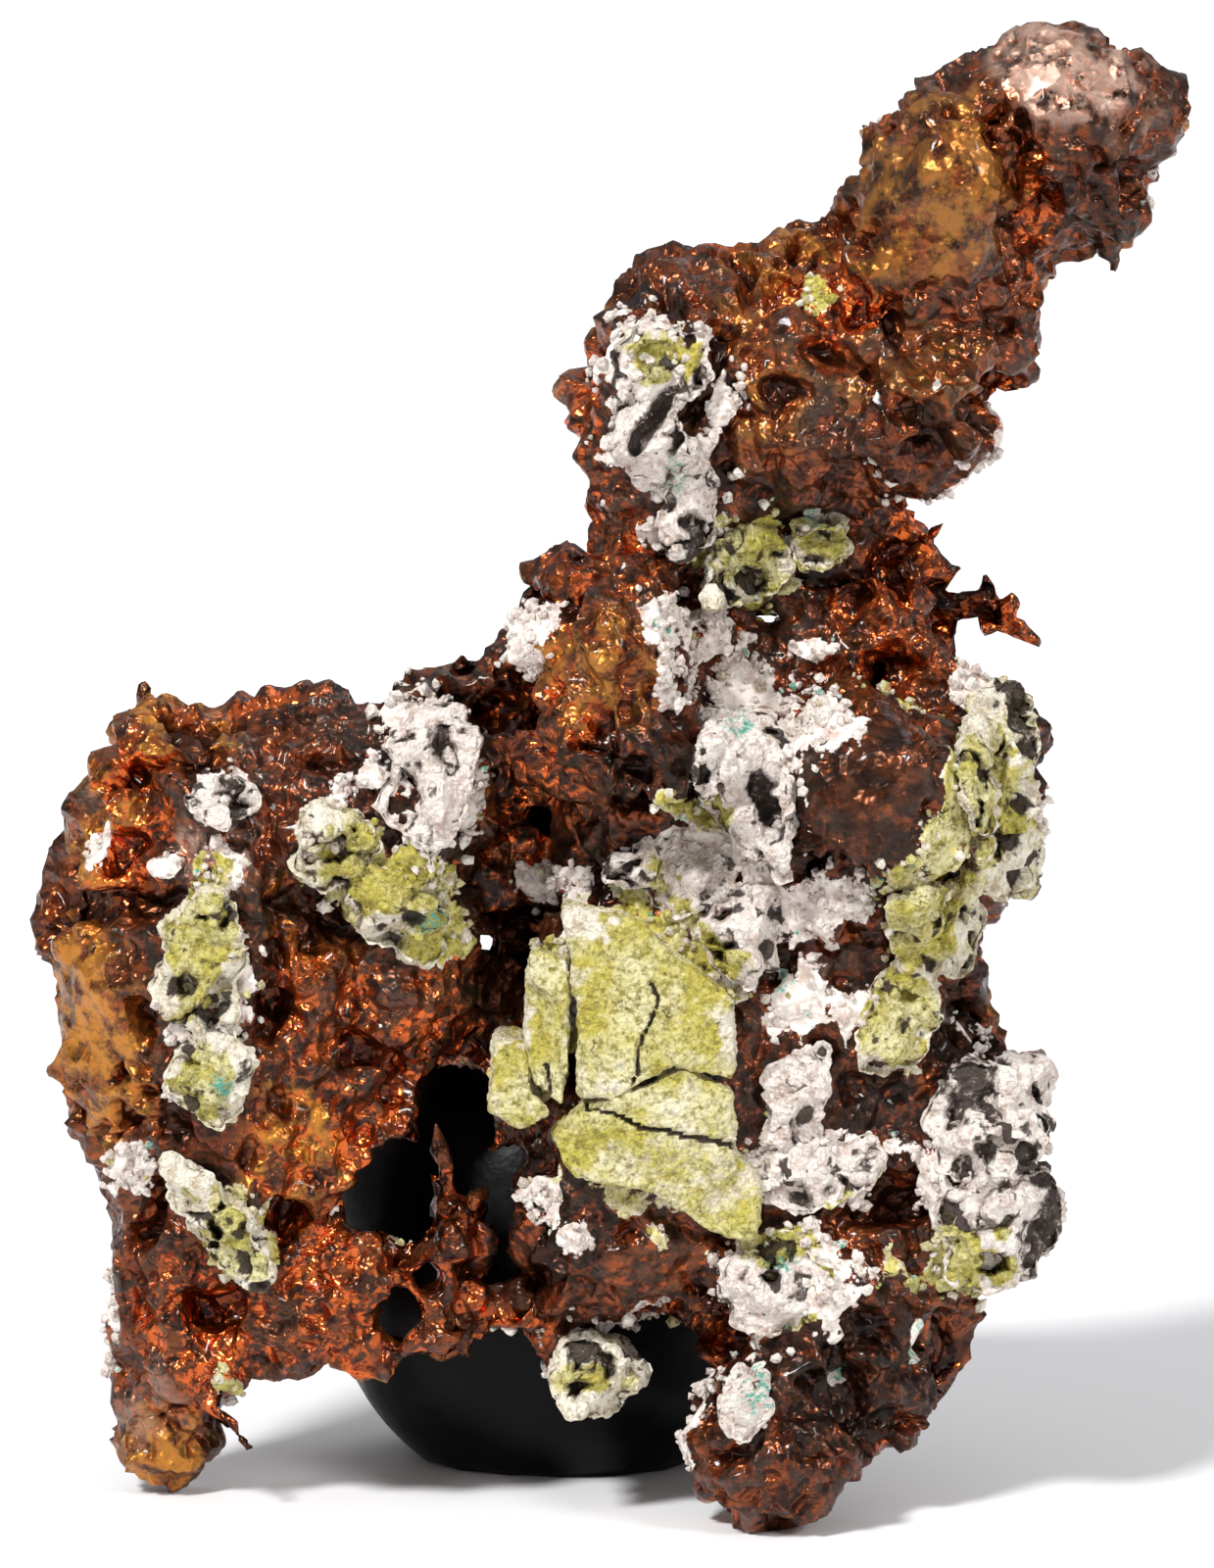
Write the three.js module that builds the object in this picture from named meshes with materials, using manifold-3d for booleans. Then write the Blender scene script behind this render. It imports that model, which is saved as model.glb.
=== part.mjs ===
// A nugget of native copper, crusted with epidote and feldspar, propped upright on a black pebble.
// Millimetres, +Z up. The viewer stands on the -Y side and looks slightly down.
// The copper is one solid: lobes that melt into each other, then thorns, holes, pits and the pebble's seat.
// Each crust is a separate solid that follows the copper under it, a small gap away.

import * as THREE from 'three';
import { ImprovedNoise } from 'three/addons/math/ImprovedNoise.js';
import { MarchingCubes } from 'three/addons/objects/MarchingCubes.js';
import { mergeVertices } from 'three/addons/utils/BufferGeometryUtils.js';
import Module from 'manifold-3d';

// Driving dimensions
const CELL = 4.15;            // grid that the copper's surface is taken on
const GRID_CELLS = 36;         // an even number
const GRID_CENTRE = new THREE.Vector3(2, 3, 61);
const SNAP = 0.22;            // a corner this near a grid point, in cells, moves onto it
const FILLED = 1;             // depth given to a grid point in a tight spot
const FACE_ROOM = 40000;      // most faces that the grid may give
const WELD = 1e-3;            // corners closer than this are one
const MELT = 1.5;             // how far neighbouring lobes melt into each other
const KNOBBLE = 2.1;          // height of the knobbles on the copper
const KNOBBLE_PITCH = 6.5;    // distance between knobbles
const RIDGE_PITCH = 3.4;      // distance between the ridges on them
const RAGGED = 0.25;          // unevenness of plates, holes and pits, in radii
const BLOB_RAGGED = 0.45;     // unevenness of a crust's outline, in radii
const GAP = 0.3;              // open joint between touching pieces
const CRUST = 1.9;            // how proud a crust stands of the copper
const SLAB = 2.8;             // how proud the cracked epidote slab stands
const CRUST_BACK = 0;         // no crust reaches farther back than this
const TIP = 0.25;             // a thorn's tip, in root radii
const THORN_SIDES = 6;
const THORN_STEPS = 2;
const FINE = 3;               // facet level of the pebble
const MEDIUM = 2;             // facet level of plates
const COARSE = 1;             // facet level of holes and pits
const FEWEST_CORNERS = 6;     // of a crust's outline
const MOST_CORNERS = 12;
const OUTLINE_SLICE = 0.5;    // where crust outlines read the noise
const SIGHT = -8;             // fall of the line of sight, degrees about X
const REACH = 80;             // longer than any piece, for cutters

const COPPER = new THREE.MeshStandardMaterial({ color: 0x8a4a26, roughness: 0.42, metalness: 0.9 });
const FELDSPAR = new THREE.MeshStandardMaterial({ color: 0xd9c8c0, roughness: 0.85, metalness: 0 });
const EPIDOTE = new THREE.MeshStandardMaterial({ color: 0xc3bf68, roughness: 0.85, metalness: 0 });
const PEBBLE = new THREE.MeshStandardMaterial({ color: 0x17171a, roughness: 0.5, metalness: 0 });

// The pebble: a smooth egg with a worn flat underneath
const STONE = { at: [-3, 18.5, 17], radii: [20, 17, 21.5], lean: -12 };

// Lobes of the copper. at and radii are millimetres, lean turns a lobe clockwise for the viewer,
// swing turns it about the vertical, and square makes it boxier (2 is an ellipsoid).
const LEFT_BLOCK = [
  { at: [-39, 3, 40.4], radii: [5.4, 9, 12], square: 3, lean: -3 },       // ochre cheek
  { at: [-34.6, 2, 56.6], radii: [7.4, 9, 10.5], square: 4, lean: 14 },   // shoulder
  { at: [-29.5, -1, 41.5], radii: [8.5, 8.5, 14], square: 3 },            // face
  { at: [-22.4, 1, 58.5], radii: [9, 8, 7.5], square: 3 },                // brow
  { at: [-18, 5, 45.6], radii: [10.5, 9.5, 12] },                         // heart
  { at: [-12.8, -3, 59], radii: [5, 7, 8] },                              // boss
  { at: [-17.6, 2, 66.6], radii: [11, 4.5, 2.6], lean: -10 },             // top rim
  { at: [-28.5, -7, 54], radii: [2.6, 4.5, 9], lean: -25 },               // front ridge
];
const LEFT_LEG = [
  { at: [-32.4, 3, 21], radii: [7.6, 6.5, 12], square: 3, lean: -4 },     // leg
  { at: [-35.8, 4, 5.4], radii: [5.2, 5, 6.8] },                          // foot
  { at: [-26.5, 2, 17.5], radii: [5, 3.5, 4] },                           // web above the arch
];
const SKIRT = [
  { at: [-16.4, -3, 25.6], radii: [11, 1.9, 14], square: 3, swing: 8 },   // thin wall
  { at: [-14, -3, 14.4], radii: [8.5, 2.4, 2], lean: 2 },                 // bottom lip
  { at: [-25.6, -4, 27], radii: [2.2, 3, 9], lean: -4 },                  // golden ridge
];
const BODY = [
  { at: [14.4, 3, 42.7], radii: [17, 12, 25], square: 3 },                // trunk
  { at: [2, -9, 74], radii: [6.5, 8, 6.5] },                              // front lump, upper
  { at: [1, -6, 79.2], radii: [2.6, 4, 2.2] },                            // its ear
  { at: [2, -11, 65], radii: [7.2, 8, 6] },                               // front lump, lower
  { at: [23.2, -10, 60.9], radii: [8.2, 9, 8.5] },                        // front lump, right
  { at: [32.6, 0, 60.6], radii: [4.2, 6.5, 9] },                          // right cheek
  { at: [28.8, 2, 44.8], radii: [4.2, 7.5, 7.5] },                        // waist
  { at: [32, -2, 28.5], radii: [6, 8.5, 10] },                            // flank
  { at: [4.8, -2, 38], radii: [9, 8.5, 14] },                             // bed of the slab
  { at: [0.8, -4, 24], radii: [7.4, 6, 7] },                              // dark knee
  { at: [-4.8, 7, 58], radii: [5, 3, 15] },                               // web to the left block
  { at: [-4.6, 6, 42], radii: [4.5, 3, 8] },                              // web beside the slab
  { at: [-3.5, 4, 75], radii: [3, 3, 5], lean: 35 },                      // ridge down the web
];
const RIGHT_FOOT = [
  { at: [18.4, -4, 17.5], radii: [10.2, 8.4, 10] },                       // shin
  { at: [15.6, -9, 6.4], radii: [7.4, 7, 7.4] },                          // foot
  { at: [24.8, -4, 10.2], radii: [4.8, 4.4, 6.2] },                           // heel
  { at: [4, -1, 16.5], radii: [7, 2.4, 2.2] },                            // strap
  { at: [0.4, -2, 11.8], radii: [3.4, 3, 2.6] },                          // hanging lump
];
const NECK = [
  { at: [16, 4, 75.3], radii: [12, 6.5, 10] },                            // neck
  { at: [25, 1, 74], radii: [5, 5.5, 7.8] },                            // right side of the neck
  { at: [36.8, 3, 64.7], radii: [1.8, 2.6, 4.5] },                        // flake
];
const UPPER_MASS = [
  { at: [5, -3, 92], radii: [6.2, 7.8, 11], lean: 4 },                    // left
  { at: [16, -1, 93.2], radii: [9, 8.5, 9], square: 3 },                  // middle
  { at: [26, -6, 92], radii: [7, 8, 6] },                                 // ball
  { at: [0.8, -2, 94.6], radii: [2.2, 3, 2.6] },                                // ear
  { at: [7.6, 0, 101.8], radii: [4, 4, 2.6] },                          // crest
  { at: [13.6, 0, 101.4], radii: [3, 3.5, 2.6] },                         // pale crest
  { at: [17.8, 8, 103.8], radii: [3.4, 4, 3.2] },                           // knob behind
  { at: [1.6, -3, 86.7], radii: [2.4, 4, 3] },                            // chin
];
const TOP_KNOB = [
  { at: [27.6, -1, 107.4], radii: [7, 7.4, 9.8], square: 4, lean: 19 },     // block
  { at: [38.6, 1, 115.4], radii: [8, 8.4, 7], square: 3, lean: 24 },      // knob
  { at: [43.4, 1, 110.6], radii: [4.6, 6.5, 6] },                         // jaw
  { at: [35, 0, 99], radii: [2.6, 4.6, 5.5] },                            // link
  { at: [47, 1, 117], radii: [1.5, 2.2, 1.6] },                           // ear
  { at: [32, 1, 117], radii: [3.5, 4, 2.4], lean: -20 },                  // shoulder
];
const BACK = [
  { at: [-24, 13, 48], radii: [12, 8, 14], square: 3 },
  { at: [9, 15, 52], radii: [16, 8, 14], square: 3 },
  { at: [25, 9, 30], radii: [8.5, 8, 13] },
  { at: [17, 8, 92], radii: [10.5, 6, 7] },
  { at: [34, 6, 109], radii: [8, 5.5, 8] },
  { at: [16, 10, 74], radii: [9, 5, 9] },
  { at: [-31, 18, 54], radii: [5, 5, 7], lean: 20 },
  { at: [-18, 20, 42], radii: [6, 4, 5] },
  { at: [3, 21, 58], radii: [6, 5, 6] },
  { at: [17, 21, 46], radii: [6, 5, 9], lean: -25 },
  { at: [22, 13, 94], radii: [5, 5, 4] },
  { at: [9, 14, 80], radii: [4, 4, 6], lean: 30 },
];
const GROUPS = [LEFT_BLOCK, LEFT_LEG, SKIRT, BODY, RIGHT_FOOT, NECK, UPPER_MASS, TOP_KNOB, BACK];

// Plates too thin for the grid
const PLATES = [
  { at: [29.4, -1, 13], radii: [2.6, 1.2, 7], lean: 15 },                 // perforated fin of the right foot
  { at: [32, 3, 75], radii: [4.6, 1.4, 1.9], lean: 8 },                   // claw beside the neck
];

// Holes right through, along the line of sight
const HOLES = [
  { at: [-10.6, -3, 32], radii: [3.4, 7, 6] },       // window in the skirt
  { at: [-7.2, -3, 25], radii: [1.6, 7, 6] },        // its narrow right end
  { at: [-15.6, -3, 27.6], radii: [2.6, 7, 3.6] },   // its left end
  { at: [-16, -3, 16.8], radii: [2.3, 7, 2.6] },     // low window
  { at: [-12.6, -3, 19.8], radii: [1.5, 7, 1.5] },   // small window beside it
  { at: [-3.6, 7, 56], radii: [1.1, 9, 1.3] },       // upper hole of the web
  { at: [-8.4, 7, 46.2], radii: [1.3, 9, 2.6] },     // lower hole of the web
  { at: [15, 6, 73.3], radii: [1.9, 20, 0.9] },      // slit in the neck
  { at: [27.2, -1, 13.3], radii: [0.9, 5, 1.5] },    // hole in the fin
];

// Pits and creases that show from a step away
const PITS = [
  { at: [34.4, -8, 110], radii: [1.6, 5, 7], lean: 8 }, // groove beside the knob
  { at: [3, -15, 57.4], radii: [5, 5, 1.4] },           // below the front lump
  { at: [7, -4, 15], radii: [4.6, 6, 4] },              // cavity beside the foot
];

// Thorns: from is the root, to the tip
const THORNS = [
  { from: [-35, 1, 62], to: [-36.8, 1, 69.4], root: 2.6 },        // horn of the left block
  { from: [-13, 2, 68], to: [-10, 2, 71.6], root: 2.2 },          // end of the top rim
  { from: [26, 2, 79.6], to: [29.8, 1, 82.4], root: 2 },          // upper claw
  { from: [33, 3, 74.2], to: [37.4, 3, 71.6], root: 2 },          // tip of the lower claw
  { from: [33, 3, 75], to: [32.6, 3, 78.2], root: 1.6 },          // back of the lower claw
  { from: [42, 0, 107], to: [43, 0, 102.4], root: 2.2 },          // tooth of the jaw
  { from: [35.4, 0, 98], to: [36.6, 0, 93.4], root: 1.8 },        // barb under the link
  { from: [25, -1, 112], to: [21.8, -1, 115], root: 2.4 },        // corner of the top block
  { from: [-31.6, -3, 9.2], to: [-27.6, -4, 5], root: 1.7 },      // spur of the left foot
];
// Stands in the skirt's window
const PRONG = { from: [-10.6, -3, 18], to: [-12.6, -3.4, 33], root: 2.4 };

// Crusts as the viewer sees them: each blob is [x, z, half width, half height, lean].
const CRUSTS = {
  crust_left_face: { stuff: EPIDOTE, blobs: [[-31, 48, 3.2, 6, 0], [-30.4, 38.5, 3, 5.5, 0]] },
  crust_left_leg: { stuff: EPIDOTE, blobs: [[-29.8, 24.6, 1.9, 6.5, -35]] },
  crust_boss: { stuff: FELDSPAR, blobs: [[-12.8, 62, 3.6, 6, 10]] },
  crust_wedge: { stuff: EPIDOTE, blobs: [[-20.6, 56.6, 3.4, 3.6, 0], [-15.4, 51, 5.4, 2.6, 40]] },
  crust_chip: { stuff: FELDSPAR, blobs: [[-29.6, 60.6, 2.2, 1.6, 0]] },
  crust_upper: { stuff: FELDSPAR, blobs: [[5.8, 95.8, 4.2, 4, -30], [4.8, 90, 3.2, 3.6, -30]] },
  crust_chin: { stuff: FELDSPAR, blobs: [[8.4, 84.6, 2.6, 4, 10]] },
  crust_neck: { stuff: EPIDOTE, blobs: [[13, 79.4, 3.8, 3, -20]] },
  crust_neck_side: { stuff: EPIDOTE, blobs: [[18.8, 80.4, 2.2, 2, 0]] },
  crust_saddle: { stuff: FELDSPAR, blobs: [[10.6, 72, 2.4, 4.6, 0], [13, 62.6, 3.4, 6, -15]] },
  crust_middle: { stuff: FELDSPAR, blobs: [[7, 54, 5.6, 3, 10], [13, 50, 3.6, 4.4, 0]] },
  crust_centre: { stuff: FELDSPAR, blobs: [[18.6, 30, 6.4, 2.8, -5], [17, 36, 3, 4.4, 0]] },
  crust_cheek: { stuff: EPIDOTE, blobs: [[33.2, 63.4, 3.4, 5.6, 0], [34, 55.4, 3, 4, 0]] },
  crust_waist: { stuff: EPIDOTE, blobs: [[28.4, 50.4, 4.6, 3.8, 30], [25.4, 43, 2.8, 5.6, 10]] },
  crust_flank: { stuff: FELDSPAR, blobs: [[32.6, 33.6, 5, 5.4, 0], [34, 25, 5, 5, -10]] },
  crust_shin: { stuff: FELDSPAR, blobs: [[15.4, 20.8, 4.6, 3.4, -10]] },
  crust_foot: { stuff: FELDSPAR, blobs: [[13, 11, 1.8, 3.2, 10]] },
  crust_hanging: { stuff: EPIDOTE, blobs: [[0.4, 12, 3.8, 2.6, 0]] },
};

// The cracked slab: outlines of its blocks for the viewer, [x, z] from the top, clockwise
const SLAB_BLOCKS = {
  slab_upper: [
    [-2, 51.6], [4, 50.8], [8, 47.4], [11.8, 44.8],
    [11.8, 38], [7, 39.4], [2.2, 36.8], [-0.6, 36.4], [-0.8, 44],
  ],
  slab_lower: [
    [8, 38.8], [11.8, 37], [12, 32], [14, 29], [13.6, 25],
    [10, 25.4], [5.6, 28.6], [-1, 30], [-3, 33], [-0.6, 35.4],
  ],
  slab_side: [[-4.6, 48], [-1.6, 47.4], [-1.6, 40], [-2.2, 35.6], [-4.4, 37.6], [-5, 42]],
  slab_chip: [[-7.6, 40], [-5.2, 40.2], [-4.6, 36.6], [-3.4, 34.8], [-5.4, 33.6], [-8, 34.6]],
};

const wasm = await Module();
wasm.setup();
const perlin = new ImprovedNoise();
const UP = new THREE.Vector3(0, 1, 0);   // the way a cylinder stands

// Knobbles with ridges on them at a point, about -1 to 1
function ruggedness(x, y, z) {
  const knobble = perlin.noise(x / KNOBBLE_PITCH, y / KNOBBLE_PITCH, z / KNOBBLE_PITCH);
  const fold = perlin.noise(x / RIDGE_PITCH, y / RIDGE_PITCH, z / RIDGE_PITCH);
  return knobble + 1 / 4 - Math.abs(fold);
}

// A lobe's turn as a quaternion
function turnOf({ lean = 0, swing = 0, pitch = 0 }) {
  const angles = [pitch, lean, swing].map(THREE.MathUtils.degToRad);
  return new THREE.Quaternion().setFromEuler(new THREE.Euler(...angles, 'ZYX'));
}

// Distance from a point to a lobe's surface, negative inside and true near the surface
function lobeDistance({ place, half, unturn, square = 2 }, point) {
  const local = point.clone().sub(place).applyQuaternion(unturn).divide(half);
  const powers = [local.x, local.y, local.z].map((value) => Math.abs(value) ** square);
  const norm = Math.max((powers[0] + powers[1] + powers[2]) ** (1 / square), Number.EPSILON);
  const slope = Math.hypot(...[local.x, local.y, local.z].map(
    (value, axis) => (Math.abs(value) / norm) ** (square - 1) / half.getComponent(axis),
  ));
  return (norm - 1) / slope;
}

const LOBES = GROUPS.flat().map((one) => ({
  ...one,
  place: new THREE.Vector3(...one.at),
  half: new THREE.Vector3(...one.radii),
  unturn: turnOf(one).invert(),
}));

// Distance to the melted lobes with their knobbles
function copperDistance(point) {
  let sum = Number.MIN_VALUE;
  for (const one of LOBES) sum += Math.exp(-lobeDistance(one, point) / MELT);
  return -MELT * Math.log(sum) - KNOBBLE * ruggedness(point.x, point.y, point.z);
}

// A geometry with shared corners and no collapsed faces
function welded(geometry) {
  const bare = new THREE.BufferGeometry().setAttribute('position', geometry.getAttribute('position'));
  bare.setIndex(geometry.index);
  const merged = mergeVertices(bare, WELD);
  const corners = merged.index.array;
  const faces = [];
  for (let i = 0; i < corners.length; i += 3) {
    const [a, b, c] = corners.slice(i, i + 3);
    if (a !== b && b !== c && c !== a) faces.push(a, b, c);
  }
  return merged.setIndex(faces);
}

// A closed three.js geometry as a solid
function solidFrom(geometry) {
  const closed = welded(geometry);
  const vertProperties = new Float32Array(closed.getAttribute('position').array);
  const triVerts = new Uint32Array(closed.index.array);
  return new wasm.Manifold(new wasm.Mesh({ numProp: 3, vertProperties, triVerts }));
}

// A solid as a three.js geometry
function geometryFrom(solid) {
  const { vertProperties, triVerts } = solid.getMesh();
  const geometry = new THREE.BufferGeometry();
  geometry.setAttribute('position', new THREE.BufferAttribute(new Float32Array(vertProperties), 3));
  geometry.setIndex(new THREE.BufferAttribute(new Uint32Array(triVerts), 1));
  geometry.computeVertexNormals();
  return geometry;
}

const union = (solids) => solids.reduce((joined, next) => joined.add(next));
const largest = (solid) => solid.decompose().reduce((a, b) => (a.volume() > b.volume() ? a : b));

// How deep each grid point lies in the melted lobes
const grid = new MarchingCubes(GRID_CELLS, COPPER, false, false, FACE_ROOM);
const depths = Float32Array.from(grid.field, (_, index) => {
  const steps = [index, index / GRID_CELLS, index / GRID_CELLS ** 2];
  const place = new THREE.Vector3(...steps.map((step) => Math.floor(step) % GRID_CELLS));
  return -copperDistance(place.subScalar(GRID_CELLS / 2).multiplyScalar(CELL).add(GRID_CENTRE));
});

// The surface a margin outside the melted lobes
function gridSurface(margin) {
  grid.field.set(depths);
  grid.isolation = -margin;
  grid.update();
  const points = grid.positionArray.slice(0, 3 * grid.count).map((value) => {
    const place = value * GRID_CELLS / 2;
    const nearest = Math.round(place);
    return Math.abs(place - nearest) < SNAP ? nearest : place;
  });
  const geometry = new THREE.BufferGeometry();
  geometry.setAttribute('position', new THREE.BufferAttribute(points, 3));
  return welded(geometry.scale(CELL, CELL, CELL).translate(GRID_CENTRE.x, GRID_CENTRE.y, GRID_CENTRE.z));
}

// Middles of the edges where a surface touches itself
function tightSpots(surface) {
  const points = surface.getAttribute('position');
  const corners = surface.index.array;
  const seen = new Set();
  const spots = [];
  corners.forEach((start, i) => {
    const end = corners[i % 3 === 2 ? i - 2 : i + 1];
    const edge = `${start}-${end}`;
    if (seen.has(edge)) {
      const middle = new THREE.Vector3().fromBufferAttribute(points, start);
      spots.push(middle.lerp(new THREE.Vector3().fromBufferAttribute(points, end), 0.5));
    }
    seen.add(edge);
  });
  return spots;
}

// The surface a margin outside the melted lobes, with the tight spots filled
function meltedLobes(margin) {
  let surface = gridSurface(margin);
  for (let spots = tightSpots(surface); spots.length > 0; spots = tightSpots(surface)) {
    for (const spot of spots) {
      const cell = spot.sub(GRID_CENTRE).divideScalar(CELL).addScalar(GRID_CELLS / 2).floor();
      for (let corner = 0; corner < 8; corner++) {
        const [i, j, k] = [cell.x + (corner & 1), cell.y + (corner >> 1 & 1), cell.z + (corner >> 2)];
        const index = i + GRID_CELLS * (j + GRID_CELLS * k);
        depths[index] = Math.max(depths[index], FILLED - margin);
      }
    }
    surface = gridSurface(margin);
  }
  return surface;
}

// A surface with every corner pushed out along its normal
function pushedOut(surface, margin) {
  const grown = surface.clone();
  grown.computeVertexNormals();
  const points = grown.getAttribute('position');
  const normals = grown.getAttribute('normal');
  for (let i = 0; i < points.count; i++) {
    const point = new THREE.Vector3().fromBufferAttribute(points, i);
    point.addScaledVector(new THREE.Vector3().fromBufferAttribute(normals, i), margin);
    points.setXYZ(i, point.x, point.y, point.z);
  }
  return grown;
}

// A smooth or knobbly lump of its own, grown by a margin
function lump(one, rough, facets, margin = 0) {
  const geometry = new THREE.IcosahedronGeometry(1, facets);
  const points = geometry.getAttribute('position');
  const turn = turnOf(one);
  const place = new THREE.Vector3(...one.at);
  const grown = new THREE.Vector3(...one.radii).addScalar(margin);
  const point = new THREE.Vector3();
  for (let i = 0; i < points.count; i++) {
    point.fromBufferAttribute(points, i).normalize();
    const spot = point.clone().multiplyScalar(KNOBBLE_PITCH).add(place);
    const bump = 1 + rough * ruggedness(spot.x, spot.y, spot.z);
    point.multiply(grown).multiplyScalar(bump).applyQuaternion(turn).add(place);
    points.setXYZ(i, point.x, point.y, point.z);
  }
  return solidFrom(geometry);
}

// A thorn from its root to its blunt tip
function thorn({ from, to, root }, margin = 0) {
  const start = new THREE.Vector3(...from);
  const along = new THREE.Vector3(...to).sub(start);
  const length = along.length() + 2 * margin;
  const geometry = new THREE.CylinderGeometry(TIP * root + margin, root + margin, length, THORN_SIDES, THORN_STEPS);
  const middle = start.addScaledVector(along, 0.5);
  geometry.applyQuaternion(new THREE.Quaternion().setFromUnitVectors(UP, along.normalize()));
  return solidFrom(geometry.translate(middle.x, middle.y, middle.z));
}

// A prism from inside the copper towards the viewer, from an outline as the viewer sees it
function frontPrism(outline) {
  const shape = new THREE.Shape(outline.map(([x, z]) => new THREE.Vector2(x, z)));
  const geometry = new THREE.ExtrudeGeometry(shape, { depth: REACH, bevelEnabled: false, steps: 1 });
  geometry.rotateX(Math.PI / 2).translate(0, CRUST_BACK, 0);
  return solidFrom(geometry);
}

// The ragged outline of one blob
function blobOutline([x, z, halfWidth, halfHeight, lean]) {
  const turn = THREE.MathUtils.degToRad(lean);
  const steps = THREE.MathUtils.clamp(Math.round(halfWidth + halfHeight), FEWEST_CORNERS, MOST_CORNERS);
  return Array.from({ length: steps }, (_, i) => {
    const angle = 2 * Math.PI * i / steps;
    const wave = perlin.noise(x + 2 * Math.cos(angle), z + 2 * Math.sin(angle), OUTLINE_SLICE);
    const stretch = 1 + BLOB_RAGGED * wave;
    const u = halfWidth * stretch * Math.cos(angle);
    const v = halfHeight * stretch * Math.sin(angle);
    return [x + u * Math.cos(turn) + v * Math.sin(turn), z - u * Math.sin(turn) + v * Math.cos(turn)];
  });
}

// The copper before cutting: its melted lobes with plates and thorns a margin larger
function copperBody(lobes, margin) {
  const plates = PLATES.map((one) => lump(one, RAGGED, MEDIUM, margin));
  const thorns = THORNS.map((one) => thorn(one, margin));
  return union([solidFrom(lobes), ...plates, ...thorns]);
}

const floor = solidFrom(new THREE.BoxGeometry(4 * REACH, 4 * REACH, REACH).translate(0, 0, -REACH / 2));
const holes = union(HOLES.map((hole) => lump({ ...hole, pitch: SIGHT }, RAGGED, COARSE)));
const pits = union(PITS.map((pit) => lump(pit, RAGGED, COARSE)));
const stone = lump(STONE, 0, FINE).subtract(floor);
const cut = union([holes, pits, floor, lump(STONE, 0, FINE, GAP)]);

const lobes = meltedLobes(0);
const copper = largest(copperBody(lobes, 0).subtract(cut).add(thorn(PRONG)));
const crustEnvelope = copperBody(meltedLobes(CRUST), CRUST);
const slabEnvelope = copperBody(meltedLobes(SLAB), SLAB);

const nugget = new THREE.Group();

function addPiece(name, solid, material) {
  const mesh = new THREE.Mesh(geometryFrom(solid), material);
  mesh.name = name;
  nugget.add(mesh);
}

addPiece('rest_stone', stone, PEBBLE);
addPiece('copper_mass', copper, COPPER);

// An outline and its four neighbours a gap away
function withGap(outline) {
  const steps = [[0, 0], [GAP, 0], [-GAP, 0], [0, GAP], [0, -GAP]];
  return steps.map(([right, up]) => outline.map(([x, z]) => [x + right, z + up]));
}

// Slab blocks first, then the crusts, each kept clear of those already placed
let open = union([copperBody(pushedOut(lobes, GAP), GAP), thorn(PRONG, GAP), copper, cut]);
function addCrust(name, envelope, outlines, material) {
  const crust = envelope.intersect(union(outlines.map(frontPrism))).subtract(open);
  addPiece(name, largest(crust), material);
  open = union([open, ...outlines.flatMap(withGap).map(frontPrism)]);
}
for (const [name, outline] of Object.entries(SLAB_BLOCKS)) addCrust(name, slabEnvelope, [outline], EPIDOTE);
for (const [name, { stuff, blobs }] of Object.entries(CRUSTS)) {
  addCrust(name, crustEnvelope, blobs.map(blobOutline), stuff);
}

// The origin is the middle of the footprint
const middle = new THREE.Box3().setFromObject(nugget).getCenter(new THREE.Vector3());
nugget.position.set(-middle.x, -middle.y, 0);

export default nugget;
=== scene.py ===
"""A native copper nugget with crusts of epidote and feldspar, propped on a black pebble."""

import logging
import math
from dataclasses import dataclass, field
from enum import Enum
from typing import Iterable, Sequence, Union

import bpy
import numpy as np
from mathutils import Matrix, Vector, noise
from mathutils.bvhtree import BVHTree
from mathutils.kdtree import KDTree


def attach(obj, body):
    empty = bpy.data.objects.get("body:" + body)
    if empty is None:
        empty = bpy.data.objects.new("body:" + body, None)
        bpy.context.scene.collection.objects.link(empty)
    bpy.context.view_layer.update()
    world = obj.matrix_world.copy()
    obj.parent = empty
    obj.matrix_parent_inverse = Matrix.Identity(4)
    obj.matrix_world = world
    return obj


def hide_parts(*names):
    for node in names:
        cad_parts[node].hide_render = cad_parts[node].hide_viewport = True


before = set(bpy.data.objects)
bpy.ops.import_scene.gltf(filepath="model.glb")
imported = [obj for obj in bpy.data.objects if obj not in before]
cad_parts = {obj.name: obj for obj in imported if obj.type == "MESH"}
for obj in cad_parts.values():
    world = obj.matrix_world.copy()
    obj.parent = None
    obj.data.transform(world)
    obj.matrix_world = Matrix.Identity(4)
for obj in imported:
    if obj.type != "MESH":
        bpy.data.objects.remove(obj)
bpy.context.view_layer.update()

LOG = logging.getLogger("copper_nugget")

MM = 0.001
BODY = "root"
WELD = 1e-5
SEED = 20

Socket = bpy.types.NodeSocket
Colour = tuple[float, float, float]
Source = Union[Socket, float, Colour]


class Skin(Enum):
    """What can show on the copper's surface, BARE where rock has come off it.

    The value is the name of its attribute.
    """

    OCHRE = "ochre"
    BRIGHT = "bright"
    # DARK is black oxide, and also painted shade under the front lumps and where the copper meets a crust
    DARK = "dark"
    # SHEEN is a painted sheen: a lighter grey-pink on a lit ridge and the knob's top
    SHEEN = "sheen"
    SMOOTH = "smooth"
    PALE = "pale"
    GREEN = "green"
    TEAL = "teal"
    BARE = "bare"


class Slot(Enum):
    """The material slots of the record."""

    COPPER = "native_copper"
    PEBBLE = "black_pebble"
    EPIDOTE = "epidote"
    FELDSPAR = "feldspar"


def fade(low: float, high: float, values: np.ndarray) -> np.ndarray:
    """Rises smoothly from 0 to 1.

    Args:
        low: the value that gives 0.
        high: the value that gives 1, which may be the smaller one.
        values: what is looked up.

    Returns:
        One number from 0 to 1 for each value.
    """
    share = np.clip((values - low) / (high - low), 0.0, 1.0)
    return share * share * (3.0 - 2.0 * share)


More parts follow.
